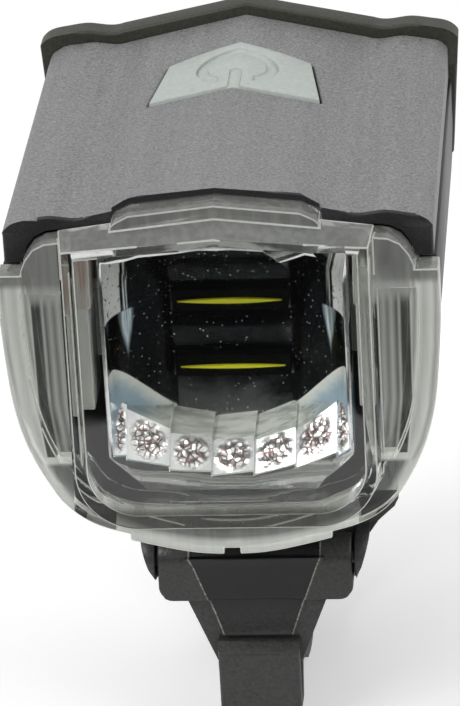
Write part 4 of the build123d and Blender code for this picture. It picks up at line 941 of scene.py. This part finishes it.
# %% Bowl coat: ends of the ledge, and the shader
END_FROM_X, END_TO_X, END_FROM_Z, END_TO_Z = 0.0063, 0.0123, LAMP_Z - 0.0109, LAMP_Z - 0.0035
LEDGE_PALE, LEDGE_BLUE = (0.9, 0.92, 0.87), (0.4, 0.53, 0.63)
END_PALE_BAND, END_SWAY = (0.0002, 0.0026), 0.0004
BOWL_METAL, LIT_METAL, MARKS_BAND, BOWL_GLOSS = 0.9, 0.05, (0.3, 0.8), (0.1, 0.3)

end_z = spread(bowl, bowl_side, END_FROM_X, END_TO_X, END_FROM_Z, END_TO_Z)
under_end = maths(bowl, "SUBTRACT", end_z, bowl_height)
bowl_end = step_up(bowl, under_end, 0.0, SOFT_STEP)
bowl_end = maths(bowl, "MULTIPLY", bowl_end, step_up(bowl, bowl_side, END_FROM_X, END_FROM_X + SOFT_STEP))
end_flow = new_node(bowl, "Group", node_tree=drawn, Size=800.0, X=0.4, Y=1.0, Z=1.0)
end_sway = maths(bowl, "SUBTRACT", end_flow.outputs["Streak"], 0.5)
end_depth = maths(bowl, "MULTIPLY_ADD", end_sway, END_SWAY, under_end)
end_tone = blend_tones(bowl, step_up(bowl, end_depth, *END_PALE_BAND), LEDGE_PALE, LEDGE_BLUE)
bowl.links.new(blend_tones(bowl, bowl_end, bowl_tone, end_tone), bowl_shader.inputs["Base Color"])
lit = maths(bowl, "MAXIMUM", maths(bowl, "MAXIMUM", white, blue), maths(bowl, "MAXIMUM", panel, bowl_end))
bowl_metal = maths(bowl, "MULTIPLY_ADD", lit, LIT_METAL - BOWL_METAL, BOWL_METAL)
bowl.links.new(bowl_metal, bowl_shader.inputs["Metallic"])
smudged(bowl, bowl_shader, *BOWL_GLOSS, band=MARKS_BAND)
print("bowl finish:", bowl_painted_reflections.name)

# %% [markdown]
# The ledge itself is pale and satin, with streaks drawn along it, and turns blue towards its ends.

# %% Ledge coat
LEDGE_DARK, LEDGE_METAL, LEDGE_GLOSS = (0.5, 0.53, 0.47), 0.25, (0.2, 0.4)
LEDGE_END_FROM, LEDGE_END_TO, LEDGE_END_SHARE = 0.0072, 0.0108, 0.75

ledge_finish, ledge, ledge_shader = new_finish("ledge coat", Metallic=LEDGE_METAL)
ledge_drawn = new_node(ledge, "Group", node_tree=drawn, Size=700.0, X=0.3, Y=1.0, Z=1.0)
ledge_tone = blend_tones(ledge, ledge_drawn.outputs["Streak"], LEDGE_DARK, LEDGE_PALE)
ledge_side = maths(ledge, "ABSOLUTE", along(ledge, "X"))
ledge_ends = step_up(ledge, ledge_side, LEDGE_END_FROM, LEDGE_END_TO, 0.0, LEDGE_END_SHARE)
ledge.links.new(blend_tones(ledge, ledge_ends, ledge_tone, LEDGE_BLUE), ledge_shader.inputs["Base Color"])
smudged(ledge, ledge_shader, *LEDGE_GLOSS, band=MARKS_BAND)
print("ledge finish:", ledge_finish.name)

# %% [markdown]
# The shell is the CAD reflector with its edges rounded. Faces inside the bowl that look up are the ledge, and
# the others there are the bowl.

# %% Reflector shell
LEDGE_SLOPE, MIRROR_ROUND = 0.35, 0.00012
BOWL_FRONT_Y, BOWL_END_Y, BOWL_FOOT_Z = RIM_Y + 0.0027, RIM_Y + 0.0139, LAMP_Z - 0.0124

soft_mirror = soften("reflector", "reflector_shell", "lamp", MIRROR_ROUND)
paint(soft_mirror, ledge_finish,
      lambda face: face.normal.z > LEDGE_SLOPE and BOWL_FRONT_Y < face.center.y < BOWL_END_Y)
paint(soft_mirror, bowl_painted_reflections,
      lambda face: BOWL_FRONT_Y < face.center.y < BOWL_END_Y and face.center.z > BOWL_FOOT_Z)

# %% [markdown]
# Seven facets run along the foot of the reflector. Each is a small grid laid between its four corners, with
# a hammered oval in its middle. A cell texture drives the relief through a Displace modifier, and a vertex
# group keeps it to the oval, so that the rim of each facet stays flat.

# %% Facets
FACET_X = (-12.6, -11.2, -6.71, -2.25, 2.25, 6.71, 11.2, 12.6)
FACET_TOP = (-7.55, -8.84, -11.77, -12.75, -12.75, -11.77, -8.84, -7.55)
FACET_LOW = (-12.84, -13.27, -14.62, -15.32, -15.32, -14.62, -13.27, -12.84)
FACET_TOP_Y, FACET_LOW_Y, FACET_STEP, FACET_LIFT, MM = 6.2, 3.2, 0.5, 0.12, 0.001
FACET_CUTS, NARROW_CUTS, NARROW = 34, 11, 2
FACET_RELIEF, RELIEF_MIDDLE, HAMMER_SIZE = 0.00035, 0.35, 0.0009
OVAL_HALF, OVAL_FADE = (0.47, 0.5), 3.0

hammer = bpy.data.textures.new("hammer", "VORONOI")
hammer.noise_scale = HAMMER_SIZE


def lamp_point(x, y, z):
    """A point in metres from millimetres in the lamp's own section, with y measured back from the rim."""
    return Vector((x * MM, RIM_Y + y * MM, LAMP_Z + z * MM))


facet_plates = []
for i in range(len(FACET_X) - 1):
    low_left = lamp_point(FACET_X[i], FACET_LOW_Y - FACET_LIFT, FACET_LOW[i])
    low_right = lamp_point(FACET_X[i + 1], FACET_LOW_Y - FACET_LIFT, FACET_LOW[i + 1] + FACET_STEP)
    top_left = lamp_point(FACET_X[i], FACET_TOP_Y - FACET_LIFT, FACET_TOP[i])
    top_right = lamp_point(FACET_X[i + 1], FACET_TOP_Y - FACET_LIFT, FACET_TOP[i + 1] + FACET_STEP)
    deselect()
    cuts_x = FACET_CUTS if FACET_X[i + 1] - FACET_X[i] > NARROW else NARROW_CUTS
    bpy.ops.mesh.primitive_grid_add(x_subdivisions=cuts_x, y_subdivisions=FACET_CUTS, size=2)
    plate = bpy.context.object
    plate.name = "facet_plate"
    oval = plate.vertex_groups.new(name="oval")
    for vertex in plate.data.vertices:
        u, v = (vertex.co.x + 1) / 2, (vertex.co.y + 1) / 2
        ring = math.hypot((u - 0.5) / OVAL_HALF[0], (v - 0.5) / OVAL_HALF[1])
        oval.add([vertex.index], max(0.0, min(1.0, (1.0 - ring) * OVAL_FADE)), "REPLACE")
        low = low_left.lerp(low_right, u)
        vertex.co = low.lerp(top_left.lerp(top_right, u), v)
    relief = plate.modifiers.new("hammered", "DISPLACE")
    relief.texture = hammer
    relief.texture_coords = "LOCAL"
    relief.vertex_group = "oval"
    relief.strength = FACET_RELIEF
    relief.mid_level = RELIEF_MIDDLE
    bpy.ops.object.modifier_apply(modifier=relief.name)
    shown = plate.data.attributes.new("hammered", "FLOAT", "POINT")
    for vertex in plate.data.vertices:
        shown.data[vertex.index].value = vertex.groups[0].weight if vertex.groups else 0.0
    facet_plates.append(plate)
print("facets:", len(facet_plates))

# %% [markdown]
# The seven plates are joined into one piece, which then gets its thickness from behind.

# %% Facets joined
PLATE_THICK, FACET_SMOOTH = 0.0004, 40

deselect()
for plate in facet_plates:
    plate.select_set(True)
bpy.context.view_layer.objects.active = facet_plates[0]
bpy.ops.object.join()
facets = bpy.context.object
facets.name = "facet_mirrors"
thickness = facets.modifiers.new("thickness", "SOLIDIFY")
thickness.thickness = PLATE_THICK
thickness.offset = -1.0
bpy.ops.object.modifier_apply(modifier=thickness.name)
bpy.ops.object.shade_smooth_by_angle(angle=math.radians(FACET_SMOOTH))
print(facets.name, "vertices", len(facets.data.vertices))

# %% [markdown]
# The facets are silver. Inside the ovals, brown lines follow the edges of a cell pattern, as the hammer marks
# mirror what is dark around the lamp.

# %% Facet finish
FACET_SILVER, FACET_BROWN = (0.93, 0.93, 0.94), (0.16, 0.085, 0.075)
FACET_METAL, FACET_LINE_BAND, FACET_GLOSS = 0.85, (0.16, 0.06), (0.12, 0.3)

facet_finish, coat, coat_shader = new_finish("facet coat", Metallic=FACET_METAL)
coat_at = new_node(coat, "TexCoord")
coat_where = new_node(coat, "Attribute", attribute_name="hammered")
coat_cells = new_node(coat, "TexVoronoi", feature="DISTANCE_TO_EDGE", Scale=1500.0)
coat_marks = new_node(coat, "Group", node_tree=wear)
coat.links.new(coat_at.outputs["Object"], coat_cells.inputs["Vector"])
coat_lines = spread(coat, coat_cells.outputs["Distance"], *FACET_LINE_BAND)
coat_lines = maths(coat, "MULTIPLY", coat_lines, coat_where.outputs["Fac"])
coat.links.new(blend_tones(coat, coat_lines, FACET_SILVER, FACET_BROWN), coat_shader.inputs["Base Color"])
coat_gloss = spread(coat, coat_marks.outputs["Smudge"], 0.0, 1.0, *FACET_GLOSS)
coat.links.new(coat_gloss, coat_shader.inputs["Roughness"])
facets.data.materials.append(facet_finish)
finish_piece(facets, "lamp", "mirror_coat", "reflector")
